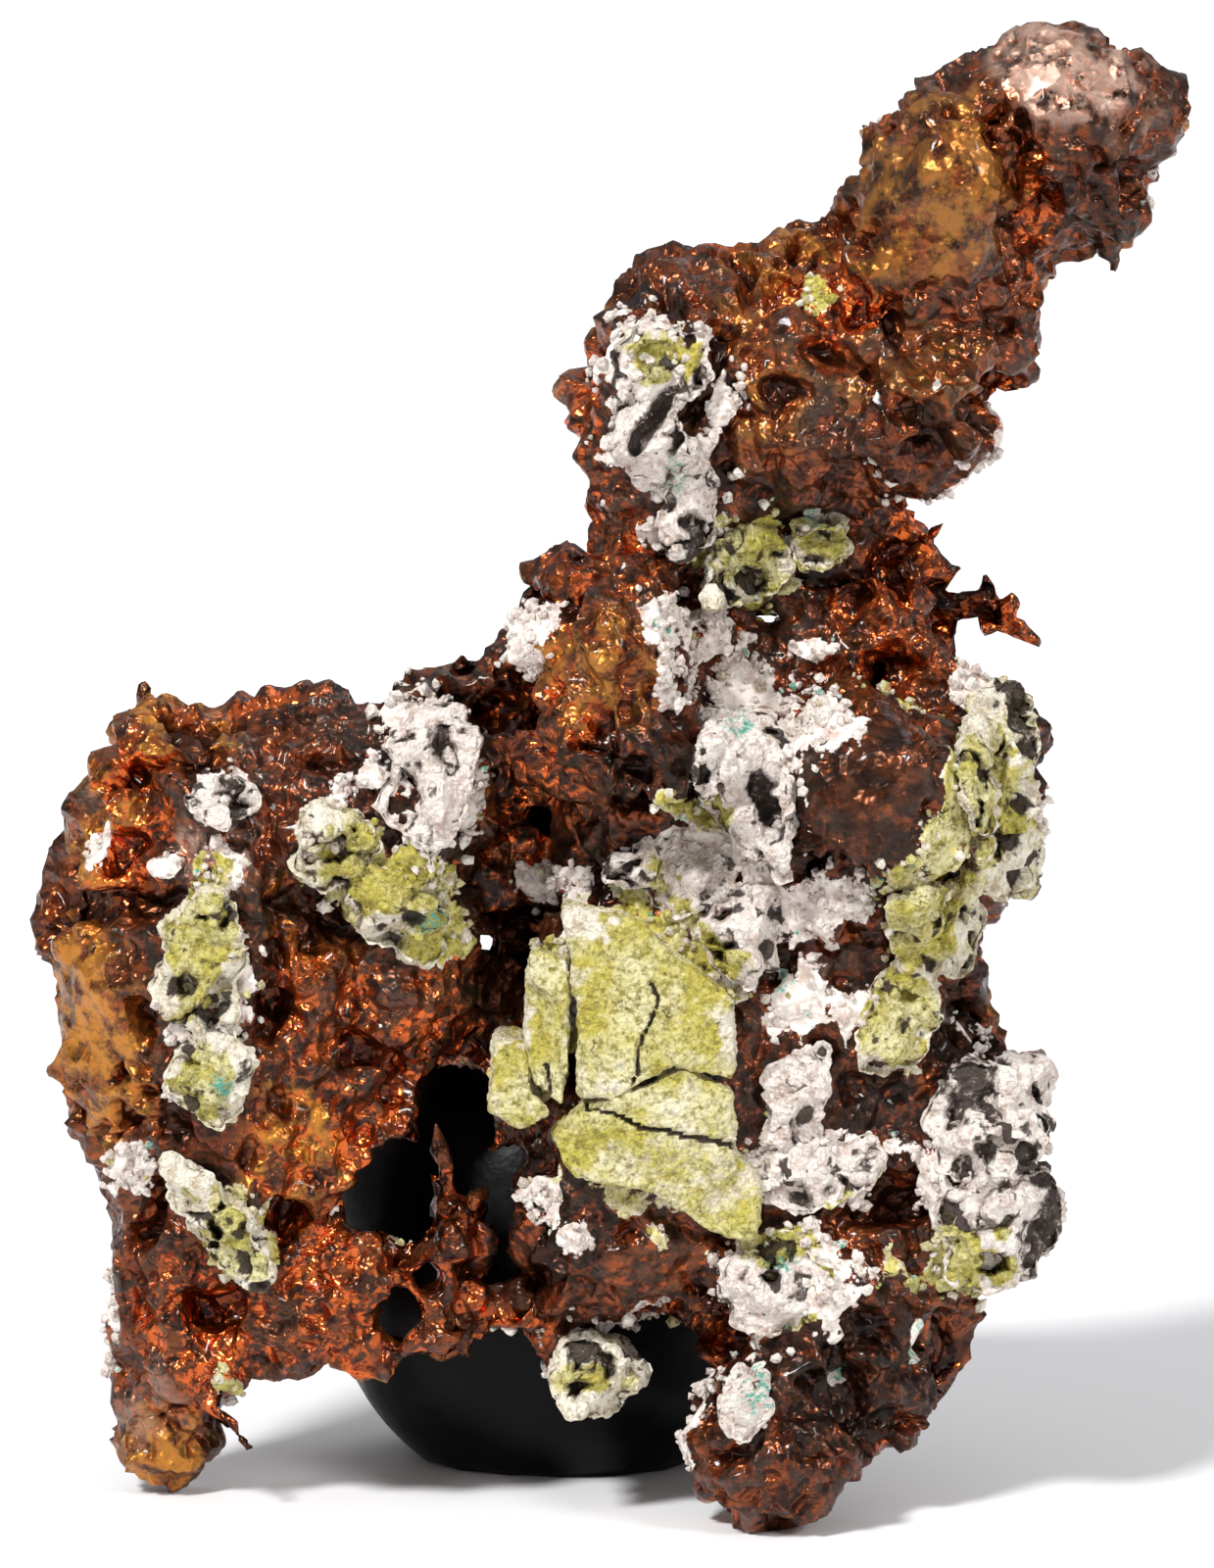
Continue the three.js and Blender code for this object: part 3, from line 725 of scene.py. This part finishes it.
@dataclass(frozen=True)
class CopperFinish:
    """Old native copper: brown patina, bright metal in the pits, ochre and black oxides, rock dust, painted
    shade in the pits, under the front lumps and near the crusts, and a painted sheen on ridges.
    """

    name: str
    rock: MineralFinish
    brown: Colour = (0.20, 0.058, 0.02)
    deep_brown: Colour = (0.032, 0.011, 0.006)
    bright: Colour = (0.80, 0.155, 0.03)
    ochre: Colour = (0.55, 0.22, 0.03)
    # black oxide, and the colour of painted shade in pits, under lumps and near crusts
    black: Colour = (0.017, 0.009, 0.006)
    # the colour of the painted sheen
    sheen: Colour = (0.46, 0.30, 0.23)
    slate: Colour = (0.062, 0.040, 0.030)
    gloss: float = 0.22
    gloss_roughness: float = 0.12
    specular: float = 0.25

    def material(self) -> bpy.types.Material:
        """Makes the material."""
        sheet = NodeSheet(self.name)
        pit = sheet.attribute("pit")
        lively = sheet.attribute(Skin.BRIGHT.value)
        mottle = sheet.cloud(2.0, 6.0, 0.66)
        spots = sheet.cloud(0.9, 3.0)

        metal = sheet.paint(sheet.ramp(mottle, 0.4, 0.6), self.deep_brown, self.brown)
        broad = sheet.ramp(sheet.cloud(6.0, 5.0, 0.62), 0.44, 0.56)
        aged = sheet.times(broad, sheet.between(lively, 0.85, 0.2))
        metal = sheet.paint(aged, metal, self.slate)
        gilded = sheet.times(
            sheet.attribute(Skin.OCHRE.value),
            sheet.ramp(sheet.cloud(3.0, 8.0, 0.72), 0.42, 0.56),
        )
        metal = sheet.paint(gilded, metal, self.ochre)
        # painted sheen laid into the colour on the ridge and the knob's top
        grey = sheet.times(sheet.attribute(Skin.SHEEN.value), sheet.ramp(mottle, 0.36, 0.56))
        metal = sheet.paint(grey, metal, self.sheen)
        # painted shade: the pits go black, less where the copper is bright
        pit_shade = sheet.times(pit, sheet.between(lively, 0.8, 0.15))
        metal = sheet.paint(pit_shade, metal, self.black)
        freshness = sheet.sum("ADD", sheet.times(lively, 0.6), 0.25)
        worn = sheet.sum("ADD", pit, sheet.times(sheet.ramp(spots, 0.42, 0.62), 0.6))
        fresh = sheet.times(sheet.ramp(worn, 0.35, 1.0), freshness)
        metal = sheet.paint(fresh, metal, self.bright)
        # painted shade: the deepest pits go black over everything below
        metal = sheet.paint(sheet.ramp(pit, 0.7, 1.0, 0.8), metal, self.black)
        # black oxide in the dark patches, which also carry painted shade under the front lumps, between the
        # skirt and the slab and where the copper meets a crust
        dark_mottle = sheet.ramp(sheet.cloud(1.3, 7.0, 0.72), 0.38, 0.54, 0.92)
        oxide_and_shade = sheet.times(sheet.attribute(Skin.DARK.value), dark_mottle)
        metal = sheet.paint(oxide_and_shade, metal, self.black)

        cover = sheet.sum("MAXIMUM", sheet.attribute(Skin.PALE.value), sheet.attribute(Skin.GREEN.value))
        cover = sheet.sum("MAXIMUM", cover, sheet.attribute(Skin.TEAL.value))
        fray = sheet.times(sheet.sum("SUBTRACT", sheet.cloud(2.4, 8.0, 0.7), 0.5), 2.4)
        dusted = sheet.ramp(sheet.sum("ADD", cover, fray), 0.7, 0.8)

        satin = sheet.between(aged, 0.24, 0.38)
        dull = sheet.between(oxide_and_shade, sheet.between(gilded, satin, 0.42), 0.4)
        dull = sheet.between(grey, dull, 0.55)
        crisp = sheet.between(sheet.attribute(Skin.SMOOTH.value), 1.0, 0.6)
        sheet.relief(sheet.cloud(1.6, 2.0, 0.5), 0.6, crisp)
        sheet.relief(sheet.grain(1.4), 0.6, crisp)
        return sheet.finish({
            "Base Color": sheet.paint(dusted, metal, self.rock.colour(sheet)),
            "Metallic": sheet.between(dusted, sheet.between(fresh, 0.72, 1.0), 0.0),
            "Roughness": sheet.between(dusted, sheet.between(fresh, dull, 0.18), self.rock.roughness),
            "Specular IOR Level": self.specular,
            "Coat Weight": self.gloss,
            "Coat Roughness": self.gloss_roughness,
        })


@dataclass(frozen=True)
class PebbleFinish:
    """Smooth black stone with a satin wear."""

    name: str
    black: Colour = (0.002, 0.002, 0.0022)
    worn: Colour = (0.005, 0.0047, 0.0047)
    specular: float = 0.1

    def material(self) -> bpy.types.Material:
        """Makes the material."""
        sheet = NodeSheet(self.name)
        wear = sheet.ramp(sheet.cloud(6.0, 6.0, 0.65), 0.45, 0.7)
        sheet.relief(sheet.cloud(1.5, 5.0), 0.06)
        return sheet.finish({
            "Base Color": sheet.paint(wear, self.black, self.worn),
            "Roughness": sheet.between(wear, 0.3, 0.5),
            "Specular IOR Level": self.specular,
        })


FELDSPAR = MineralFinish("feldspar_rock", Slot.FELDSPAR)
EPIDOTE = MineralFinish("epidote_rock", Slot.EPIDOTE, pale=(0.88, 0.82, 0.68), pale_shade=(0.54, 0.44, 0.30))


@dataclass
class CopperBody:
    """The copper itself, spongy and hackly, in one piece. Lengths are millimetres.

    least_swell and least_depth are the shares of the relief that thorns and fins keep. evened, filled
    and pressed say how much of it smooth copper, rock dust and a near crust take away.
    """

    skins: SkinMap
    crust_nodes: Sequence[str]
    finish: CopperFinish
    node: str = "copper_mass"
    name: str = "copper_body"
    first_voxel: float = 0.45
    rounding: int = 4
    fine_voxel: float = 0.36
    most_triangles: int = 195000
    knob_pitch: float = 9.0
    knob_height: float = 1.2
    lump_pitch: float = 4.2
    lump_height: float = 1.1
    ridge_pitch: float = 3.6
    ridge_height: float = 1.5
    stir_pitch: float = 2.6
    stir_reach: float = 0.6
    sponge_pitch: float = 2.3
    sponge_depth: float = 1.1
    pore_pitch: float = 1.25
    pore_depth: float = 0.45
    pit_pitch: float = 5.2
    pit_depth: float = 2.0
    pit_share: float = 0.45
    cave_pitch: float = 6.0
    cave_depth: float = 2.4
    cave_from: float = 0.12
    thin: float = 1.5
    thick: float = 5.0
    least_swell: float = 0.3
    least_depth: float = 0.25
    evened: float = 0.75
    filled: float = 0.75
    pressed: float = 0.6
    dust_height: float = 0.5
    crust_reach: float = 3.0
    # how dark the copper next to a crust is painted, as painted shade
    crust_edge_shade: float = 0.8

    def crust_closeness(self, points: np.ndarray) -> np.ndarray:
        """How near each place is to a crust: 1 where they touch, 0 from crust_reach outwards."""
        corners = []
        triangles = []
        for node in self.crust_nodes:
            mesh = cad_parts[node].data
            first = len(corners)
            corners.extend(vertex.co / MM for vertex in mesh.vertices)
            triangles.extend([first + corner for corner in face.vertices] for face in mesh.polygons)
        tree = BVHTree.FromPolygons(corners, triangles)
        near = np.full(len(points), self.crust_reach)
        for row, spot in enumerate(points.tolist()):
            distance = tree.find_nearest(spot, self.crust_reach)[3]
            if distance is not None:
                near[row] = distance
        return fade(self.crust_reach, 0.4, near)

    def sturdiness(self, piece: bpy.types.Object, points: np.ndarray, normals: np.ndarray) -> np.ndarray:
        """How much copper lies under each place.

        Args:
            piece: the copper before its relief.
            points: its places in millimetres, one per row.
            normals: the surface's direction at each place.

        Returns:
            0 on thorns and fins and 1 on thick parts, one number per place.
        """
        tree = BVHTree.FromPolygons(points.tolist(), [face.vertices[:] for face in piece.data.polygons])
        depth = np.full(len(points), self.thick)
        inside = points - normals * WELD / MM
        for row, (spot, away) in enumerate(zip(inside.tolist(), (-normals).tolist())):
            found = tree.ray_cast(spot, away, self.thick)[3]
            if found is not None:
                depth[row] = found
        return fade(self.thin, self.thick, depth)

    def relief(
        self, points: np.ndarray, skins: dict[Skin, np.ndarray], held: np.ndarray, sturdy: np.ndarray
    ) -> tuple[np.ndarray, np.ndarray]:
        """Works out the hackly surface.

        Args:
            points: places in millimetres, one per row.
            skins: how strongly each skin shows there.
            held: how near a crust is, from 0 to 1.
            sturdy: how thick the copper is, from 0 to 1.

        Returns:
            How far each place moves outwards, and how deep in a pit it is, from 0 to 1.
        """
        rugged = 1.0 - self.evened * skins[Skin.SMOOTH]
        open_air = 1.0 - self.pressed * held
        swelling = self.least_swell + (1.0 - self.least_swell) * sturdy
        digging = self.least_depth + (1.0 - self.least_depth) * sturdy
        cover = np.maximum(skins[Skin.PALE], skins[Skin.GREEN])
        spots = stirred(points, self.stir_pitch, self.stir_reach)
        swell = self.knob_height * wavy(points, self.knob_pitch)
        swell += self.lump_height * wavy(points, self.lump_pitch, 11.0) * rugged
        swell += self.ridge_height * (0.2 - np.abs(wavy(spots, self.ridge_pitch, 23.0))) * rugged

        distance, chance = cells(spots, self.sponge_pitch)
        sponge = fade(0.78, 0.2, distance) * (0.3 + 0.7 * chance)
        distance, chance = cells(spots, self.pit_pitch, 5.0)
        deep = fade(0.55, 0.15, distance) * fade(1.0 - self.pit_share, 1.1 - self.pit_share, chance)
        distance, chance = cells(spots, self.pore_pitch, 9.0)
        pores = fade(0.75, 0.15, distance) * (0.3 + 0.7 * chance)
        hollow = wavy(stirred(points, self.lump_pitch, 1.2), self.cave_pitch, 15.0)
        caves = fade(self.cave_from, self.cave_from + 0.25, hollow) * (1.0 - skins[Skin.SMOOTH])
        inward = self.sponge_depth * sponge + self.pit_depth * deep + self.pore_depth * pores
        inward += self.cave_depth * caves
        inward *= rugged * (1.0 - self.filled * cover) * open_air * digging

        dust = cover * self.dust_height * (0.4 + pores)
        outward = (1.0 - held) * swelling * swell + open_air * dust - inward
        pit = np.clip(0.75 * sponge + deep + caves + 0.35 * pores, 0.0, 1.0) * rugged
        return outward, pit

    def build(self) -> bpy.types.Object:
        """Shapes and dresses the copper.

        Returns:
            The finished piece.
        """
        piece = copied(self.node, self.name)
        remeshed(piece, self.first_voxel)
        applied(piece, "SMOOTH", factor=0.5, iterations=self.rounding)
        remeshed(piece, self.fine_voxel)

        points = points_of(piece)
        normals = normals_of(piece)
        skins = self.skins.weights(points, normals)
        held = self.crust_closeness(points)
        outward, pit = self.relief(points, skins, held, self.sturdiness(piece, points, normals))
        move_points(piece, points + normals * outward[:, None])

        # painted shade: the copper darkens where it meets a crust
        skins[Skin.DARK] = np.maximum(skins[Skin.DARK], self.crust_edge_shade * held)
        for skin, weight in skins.items():
            store(piece, skin.value, weight)
        store(piece, "pit", pit)
        triangles = 2 * len(piece.data.polygons)
        ratio = min(1.0, self.most_triangles / triangles)
        applied(piece, "DECIMATE", ratio=ratio, use_collapse_triangulate=True)
        alone(piece)
        bpy.ops.object.shade_smooth()
        piece.data.materials.append(self.finish.material())
        handed_over(piece, [self.node])
        return piece


@dataclass
class Crust:
    """One crust of rock on the copper. Lengths are millimetres."""

    node: str
    finish: MineralFinish
    skins: SkinMap
    material: bpy.types.Material
    voxel: float = 0.32
    rounding: int = 3
    spread: float = 0.4
    lump_pitch: float = 2.6
    lump_height: float = 1.1
    grain_pitch: float = 1.0
    grain_height: float = 0.6
    hole_pitch: float = 2.4
    hole_depth: float = 1.1
    hole_share: float = 0.4
    rim: float = 2.4
    rim_drop: float = 1.4
    bald_pitch: float = 4.5
    bald_from: float = 0.24
    bald_drop: float = 2.6
    bald_stain: float = 0.6
    sheds: bool = True
    green_share: float = 0.1

    def rim_distance(self, points: np.ndarray, normals: np.ndarray) -> np.ndarray:
        """How far each place is from the crust's side walls, up to twice the rim's width."""
        walls = points[np.abs(normals @ self.skins.view.forward) < 0.3]
        tree = KDTree(len(walls))
        for row, spot in enumerate(walls.tolist()):
            tree.insert(spot, row)
        tree.balance()
        return np.array([min(tree.find(spot)[2], 2.0 * self.rim) for spot in points.tolist()])

    def sinking(self, points: np.ndarray, normals: np.ndarray, bald: np.ndarray) -> np.ndarray:
        """How far each place of the front drops towards the copper, at the rim and in bald spots.

        Args:
            points: places in millimetres, one per row.
            normals: the surface's direction at each place.
            bald: where the rock has fallen off, from 0 to 1.

        Returns:
            One drop in millimetres per place.
        """
        ragged = self.rim_distance(points, normals) + 2.0 * wavy(points, self.lump_pitch, 17.0)
        drop = self.rim_drop * fade(self.rim, 0.2, ragged)
        return self.skins.view.facing(normals) * np.maximum(drop, self.bald_drop * bald)

    def baldness(self, points: np.ndarray) -> np.ndarray:
        """Where the rock has fallen off by chance, from 0 to 1."""
        spots = stirred(points, 1.5, 0.5)
        gone = wavy(spots, self.bald_pitch, 31.0) + 0.7 * wavy(spots, 0.4 * self.bald_pitch, 33.0)
        return fade(self.bald_from, self.bald_from + 0.2, gone)

    def relief(self, points: np.ndarray, bald: np.ndarray) -> tuple[np.ndarray, np.ndarray]:
        """Works out the rock's rough surface.

        Args:
            points: places in millimetres, one per row.
            bald: where the rock has fallen off, from 0 to 1.

        Returns:
            How far each place moves outwards, and how dark it is painted, from 0 to 1: painted shade in
            holes and between grains, and the copper's dark where the rock is bald.
        """
        spots = stirred(points, 1.6, 0.5)
        gaps, chance = cells(spots, self.grain_pitch, 2.0)
        grains = fade(0.75, 0.1, gaps) * (0.4 + 0.6 * chance)
        distance, chance = cells(spots, self.hole_pitch, 4.0)
        holes = fade(0.6, 0.15, distance) * fade(1.0 - self.hole_share, 1.1 - self.hole_share, chance)
        outward = self.spread + self.lump_height * wavy(points, self.lump_pitch, 6.0)
        outward += self.grain_height * (grains - 0.4) - self.hole_depth * holes
        # painted shade: holes and the gaps between grains go dark
        hole_shade = np.maximum(holes, 0.55 * fade(0.5, 0.85, gaps))
        return outward, np.maximum(hole_shade, self.bald_stain * bald)

    def build(self) -> bpy.types.Object:
        """Shapes and dresses the crust.

        Returns:
            The finished piece.
        """
        piece = copied(self.node, self.node + "_rock")
        remeshed(piece, self.voxel)
        applied(piece, "SMOOTH", factor=0.5, iterations=self.rounding)
        points = points_of(piece)
        normals = normals_of(piece)
        skins = self.skins.weights(points, normals)
        bald = np.maximum(self.baldness(points), skins[Skin.BARE]) * self.sheds
        outward, holes = self.relief(points, bald)
        drop = self.sinking(points, normals, bald)
        moved = points + normals * outward[:, None] + drop[:, None] * self.skins.view.forward
        move_points(piece, moved)
        green = np.maximum(skins[Skin.GREEN], self.green_share + 0.5 * wavy(points, 4.0, 8.0))
        store(piece, Skin.GREEN.value, np.clip(green, 0.0, 1.0))
        store(piece, Skin.TEAL.value, skins[Skin.TEAL])
        # the pit attribute carries painted shade in holes and between grains, and the copper's dark in bald
        # spots
        store(piece, "pit", holes)
        piece.data.materials.append(self.material)
        handed_over(piece, [self.node])
        return piece


@dataclass
class SlabBlock(Crust):
    """One block of the cracked slab: smoother than a crust, with hairline cracks."""

    rounding: int = 3
    spread: float = 0.15
    lump_height: float = 0.4
    grain_pitch: float = 0.7
    grain_height: float = 0.25
    hole_depth: float = 0.0
    rim_drop: float = 0.0
    sheds: bool = False
    green_share: float = 0.7
    crack_depth: float = 0.45
    crack_width: float = 0.22
    cracks: tuple[tuple[tuple[float, float], ...], ...] = (
        ((4.0, 42.4), (4.4, 41.2), (3.1, 37.8), (2.5, 34.6)),
        ((-1.7, 32.5), (2.7, 30.8), (10.3, 29.3)),
        ((6.7, 46.0), (11.5, 40.4)),
        ((-4.9, 36.0), (-4.5, 33.6)),
    )

    def relief(self, points: np.ndarray, bald: np.ndarray) -> tuple[np.ndarray, np.ndarray]:
        """Adds the hairline cracks to the rock's surface, in the way of Crust.relief, sunk and darkened with
        painted shade.
        """
        outward, holes = super().relief(points, bald)
        seen = self.skins.view.seen(points)
        seen += 0.5 * np.column_stack([wavy(points, 3.0, 1.0), wavy(points, 3.0, 2.0)])
        nearest = np.full(len(points), self.crack_width)
        for line in self.cracks:
            for start, end in zip(line, line[1:]):
                along = np.subtract(end, start)
                share = np.clip((seen - start) @ along / (along @ along), 0.0, 1.0)
                gap = np.linalg.norm(seen - start - share[:, None] * along, axis=1)
                nearest = np.minimum(nearest, gap)
        crack = fade(self.crack_width, 0.1, nearest)
        # painted shade: the cracks go dark as well as sinking
        return outward - self.crack_depth * crack, np.maximum(holes * 0.3, crack)


@dataclass
class Grains:
    """Loose crumbs of one mineral that cling to the copper. Lengths are millimetres."""

    name: str
    finish: MineralFinish
    material: bpy.types.Material
    skin: Skin
    count: int
    seed: int
    green: float
    smallest: float = 0.22
    largest: float = 0.7
    lift: float = 0.3
    jitter: float = 0.3
    least_weight: float = 0.15
    teal_share: float = 0.03

    def pattern(self) -> tuple[np.ndarray, np.ndarray]:
        """Models one round crumb of 20 faces.

        Returns:
            Its corners, one per row, and its triangles.
        """
        bpy.ops.object.select_all(action="DESELECT")
        bpy.ops.mesh.primitive_ico_sphere_add(subdivisions=1, radius=MM)
        crumb = bpy.context.object
        corners = points_of(crumb)
        faces = np.array([face.vertices[:] for face in crumb.data.polygons])
        bpy.ops.object.delete()
        return corners, faces

    def build(self, copper: bpy.types.Object) -> bpy.types.Object:
        """Scatters the crumbs over the copper's mineral skin.

        Args:
            copper: the finished copper.

        Returns:
            The finished piece, all the crumbs in one mesh.
        """
        chance = np.random.default_rng(self.seed)
        points = points_of(copper)
        normals = normals_of(copper)
        weight = np.empty(len(points), dtype=np.float32)
        copper.data.attributes[self.skin.value].data.foreach_get("value", weight)
        likely = np.where(weight > self.least_weight, 0.25 + weight, 0.0).astype(float)
        chosen = chance.choice(len(points), self.count, replace=False, p=likely / likely.sum())

        corners, faces = self.pattern()
        rough = chance.uniform(1.0 - self.jitter, 1.0 + self.jitter, (self.count, len(corners), 1))
        flat = chance.uniform(0.6, 1.1, (self.count, 1, 3))
        size = self.smallest + (self.largest - self.smallest) * chance.random((self.count, 1, 1)) ** 2
        spin = np.linalg.qr(chance.normal(size=(self.count, 3, 3)))[0]
        shape = np.einsum("nij,nkj->nki", spin, corners[None] * rough * flat) * size
        middle = points[chosen] + normals[chosen] * size[:, 0] * self.lift
        placed = (shape + middle[:, None]).reshape(-1, 3)
        joined = (faces[None] + np.arange(self.count)[:, None, None] * len(corners)).reshape(-1, 3)

        mesh = bpy.data.meshes.new(self.name)
        mesh.from_pydata((placed * MM).tolist(), [], joined.tolist())
        piece = bpy.data.objects.new(self.name, mesh)
        bpy.context.scene.collection.objects.link(piece)
        alone(piece)
        bpy.ops.object.mode_set(mode="EDIT")
        bpy.ops.mesh.select_all(action="SELECT")
        bpy.ops.mesh.normals_make_consistent(inside=False)
        bpy.ops.object.mode_set(mode="OBJECT")
        green = np.clip(chance.normal(self.green, 0.25, self.count), 0.0, 1.0)
        store(piece, Skin.GREEN.value, np.repeat(green, len(corners)))
        teal = (chance.random(self.count) < self.teal_share) * 1.0
        store(piece, Skin.TEAL.value, np.repeat(teal, len(corners)))
        store(piece, "pit", np.zeros(len(placed)))
        mesh.materials.append(self.material)
        handed_over(piece)
        return piece


@dataclass
class Pebble:
    """The smooth black stone behind the feet. Lengths are millimetres."""

    finish: PebbleFinish
    node: str = "rest_stone"
    name: str = "black_pebble"
    middle: tuple[float, float, float] = (-4.344, 10.556, 17.0)
    radii: tuple[float, float, float] = (20.0, 17.0, 21.5)
    lean: float = -12.0
    segments: int = 96
    rings: int = 48
    dent_pitch: float = 14.0
    dent_depth: float = 0.5

    def build(self) -> bpy.types.Object:
        """Shapes and dresses the pebble.

        Returns:
            The finished piece.
        """
        bpy.ops.object.select_all(action="DESELECT")
        bpy.ops.mesh.primitive_uv_sphere_add(
            segments=self.segments,
            ring_count=self.rings,
            radius=1.0,
            location=Vector(self.middle) * MM,
            rotation=(0.0, math.radians(self.lean), 0.0),
            scale=Vector(self.radii) * MM,
        )
        piece = bpy.context.object
        piece.name = self.name
        bpy.ops.object.transform_apply(location=True, rotation=True, scale=True)
        points = points_of(piece)
        dents = self.dent_depth * (wavy(points, self.dent_pitch) - 0.5)
        move_points(piece, points + normals_of(piece) * dents[:, None])
        bpy.ops.object.shade_smooth_by_angle(angle=math.radians(40.0))
        piece.data.materials.append(self.finish.material())
        handed_over(piece, [self.node])
        return piece


@dataclass(frozen=True)
class SoftLamp:
    """A large soft light, far away. Angles are degrees."""

    name: str
    strength: float
    azimuth: float
    height: float
    width: float
    colour: Colour = (1.0, 1.0, 1.0)

    def build(self) -> bpy.types.Object:
        """Adds the light.

        Returns:
            The light, which shines towards the object.
        """
        tilt = math.radians(90.0 - self.height)
        bpy.ops.object.light_add(type="SUN", rotation=(tilt, 0.0, math.radians(self.azimuth)))
        lamp = bpy.context.object
        lamp.name = self.name
        lamp.data.energy = self.strength
        lamp.data.angle = math.radians(self.width)
        lamp.data.color = self.colour
        return lamp


@dataclass
class Studio:
    """The pale floor, the lights and the camera."""

    view: FrontView
    floor_size: float = 40.0
    floor_colour: Colour = (0.93, 0.93, 0.935)
    sky_top: Colour = (0.62, 0.62, 0.64)
    sky_low: Colour = (0.10, 0.10, 0.105)
    backdrop: Colour = (1.0, 1.0, 1.0)
    lamps: tuple[SoftLamp, ...] = (
        SoftLamp("key_light", 3.0, -36.0, 46.0, 10.0),
        SoftLamp("fill_light", 1.15, 48.0, 30.0, 12.0),
        SoftLamp("back_light", 0.3, 160.0, 50.0, 30.0),
    )

    def build(self) -> None:
        """Sets the stage up."""
        scene = bpy.context.scene
        scene.view_settings.view_transform = "Standard"
        self.view.place_camera()
        for lamp in self.lamps:
            lamp.build()
        self.lay_floor()
        self.light_world()

    def lay_floor(self) -> None:
        """Lays a wide matte floor."""
        bpy.ops.object.select_all(action="DESELECT")
        bpy.ops.mesh.primitive_plane_add(size=self.floor_size)
        floor = bpy.context.object
        floor.name = "floor"
        sheet = NodeSheet("pale_floor")
        floor.data.materials.append(sheet.finish({"Base Color": self.floor_colour, "Roughness": 0.9}))

    def light_world(self) -> None:
        """Makes the surroundings bright above and grey below, and white where the camera sees them."""
        world = bpy.data.worlds.new("studio")
        bpy.context.scene.world = world
        world.use_nodes = True
        nodes = world.node_tree.nodes
        links = world.node_tree.links
        place = nodes.new("ShaderNodeTexCoord").outputs["Generated"]
        apart = nodes.new("ShaderNodeSeparateXYZ")
        links.new(place, apart.inputs[0])
        ramp = nodes.new("ShaderNodeValToRGB")
        ramp.color_ramp.elements[0].color = (*self.sky_low, 1.0)
        ramp.color_ramp.elements[1].color = (*self.sky_top, 1.0)
        links.new(apart.outputs["Z"], ramp.inputs["Fac"])
        seen = nodes.new("ShaderNodeMix")
        seen.data_type = "RGBA"
        links.new(nodes.new("ShaderNodeLightPath").outputs["Is Camera Ray"], seen.inputs["Factor"])
        links.new(ramp.outputs["Color"], seen.inputs[6])
        seen.inputs[7].default_value = (*self.backdrop, 1.0)
        links.new(seen.outputs[2], nodes["Background"].inputs["Color"])


EPIDOTE_CRUSTS = (
    "crust_left_face", "crust_left_leg", "crust_wedge", "crust_neck",
    "crust_neck_side", "crust_cheek", "crust_waist", "crust_hanging",
)
FELDSPAR_CRUSTS = (
    "crust_boss", "crust_chip", "crust_upper", "crust_chin", "crust_saddle",
    "crust_middle", "crust_centre", "crust_flank", "crust_shin", "crust_foot",
)
SLAB_BLOCKS = ("slab_upper", "slab_lower", "slab_side", "slab_chip")


def main() -> None:
    """Builds the stage and every piece."""
    logging.basicConfig(level=logging.INFO, format="%(message)s")
    view = FrontView()
    Studio(view).build()
    skins = SkinMap(view)
    epidote = EPIDOTE.material()
    feldspar = FELDSPAR.material()

    crust_nodes = EPIDOTE_CRUSTS + FELDSPAR_CRUSTS + SLAB_BLOCKS
    copper = CopperBody(skins, crust_nodes, CopperFinish("native_copper_skin", FELDSPAR)).build()
    for node in EPIDOTE_CRUSTS:
        Crust(node, EPIDOTE, skins, epidote, green_share=0.4, bald_from=0.32).build()
    for node in FELDSPAR_CRUSTS:
        Crust(node, FELDSPAR, skins, feldspar).build()
    for node in SLAB_BLOCKS:
        SlabBlock(node, EPIDOTE, skins, epidote).build()
    Grains("feldspar_grains", FELDSPAR, feldspar, Skin.PALE, 2600, SEED, 0.1).build(copper)
    Grains("epidote_grains", EPIDOTE, epidote, Skin.GREEN, 900, SEED + 1, 0.7).build(copper)
    Pebble(PebbleFinish("black_pebble_skin")).build()


if __name__ == "__main__":
    main()
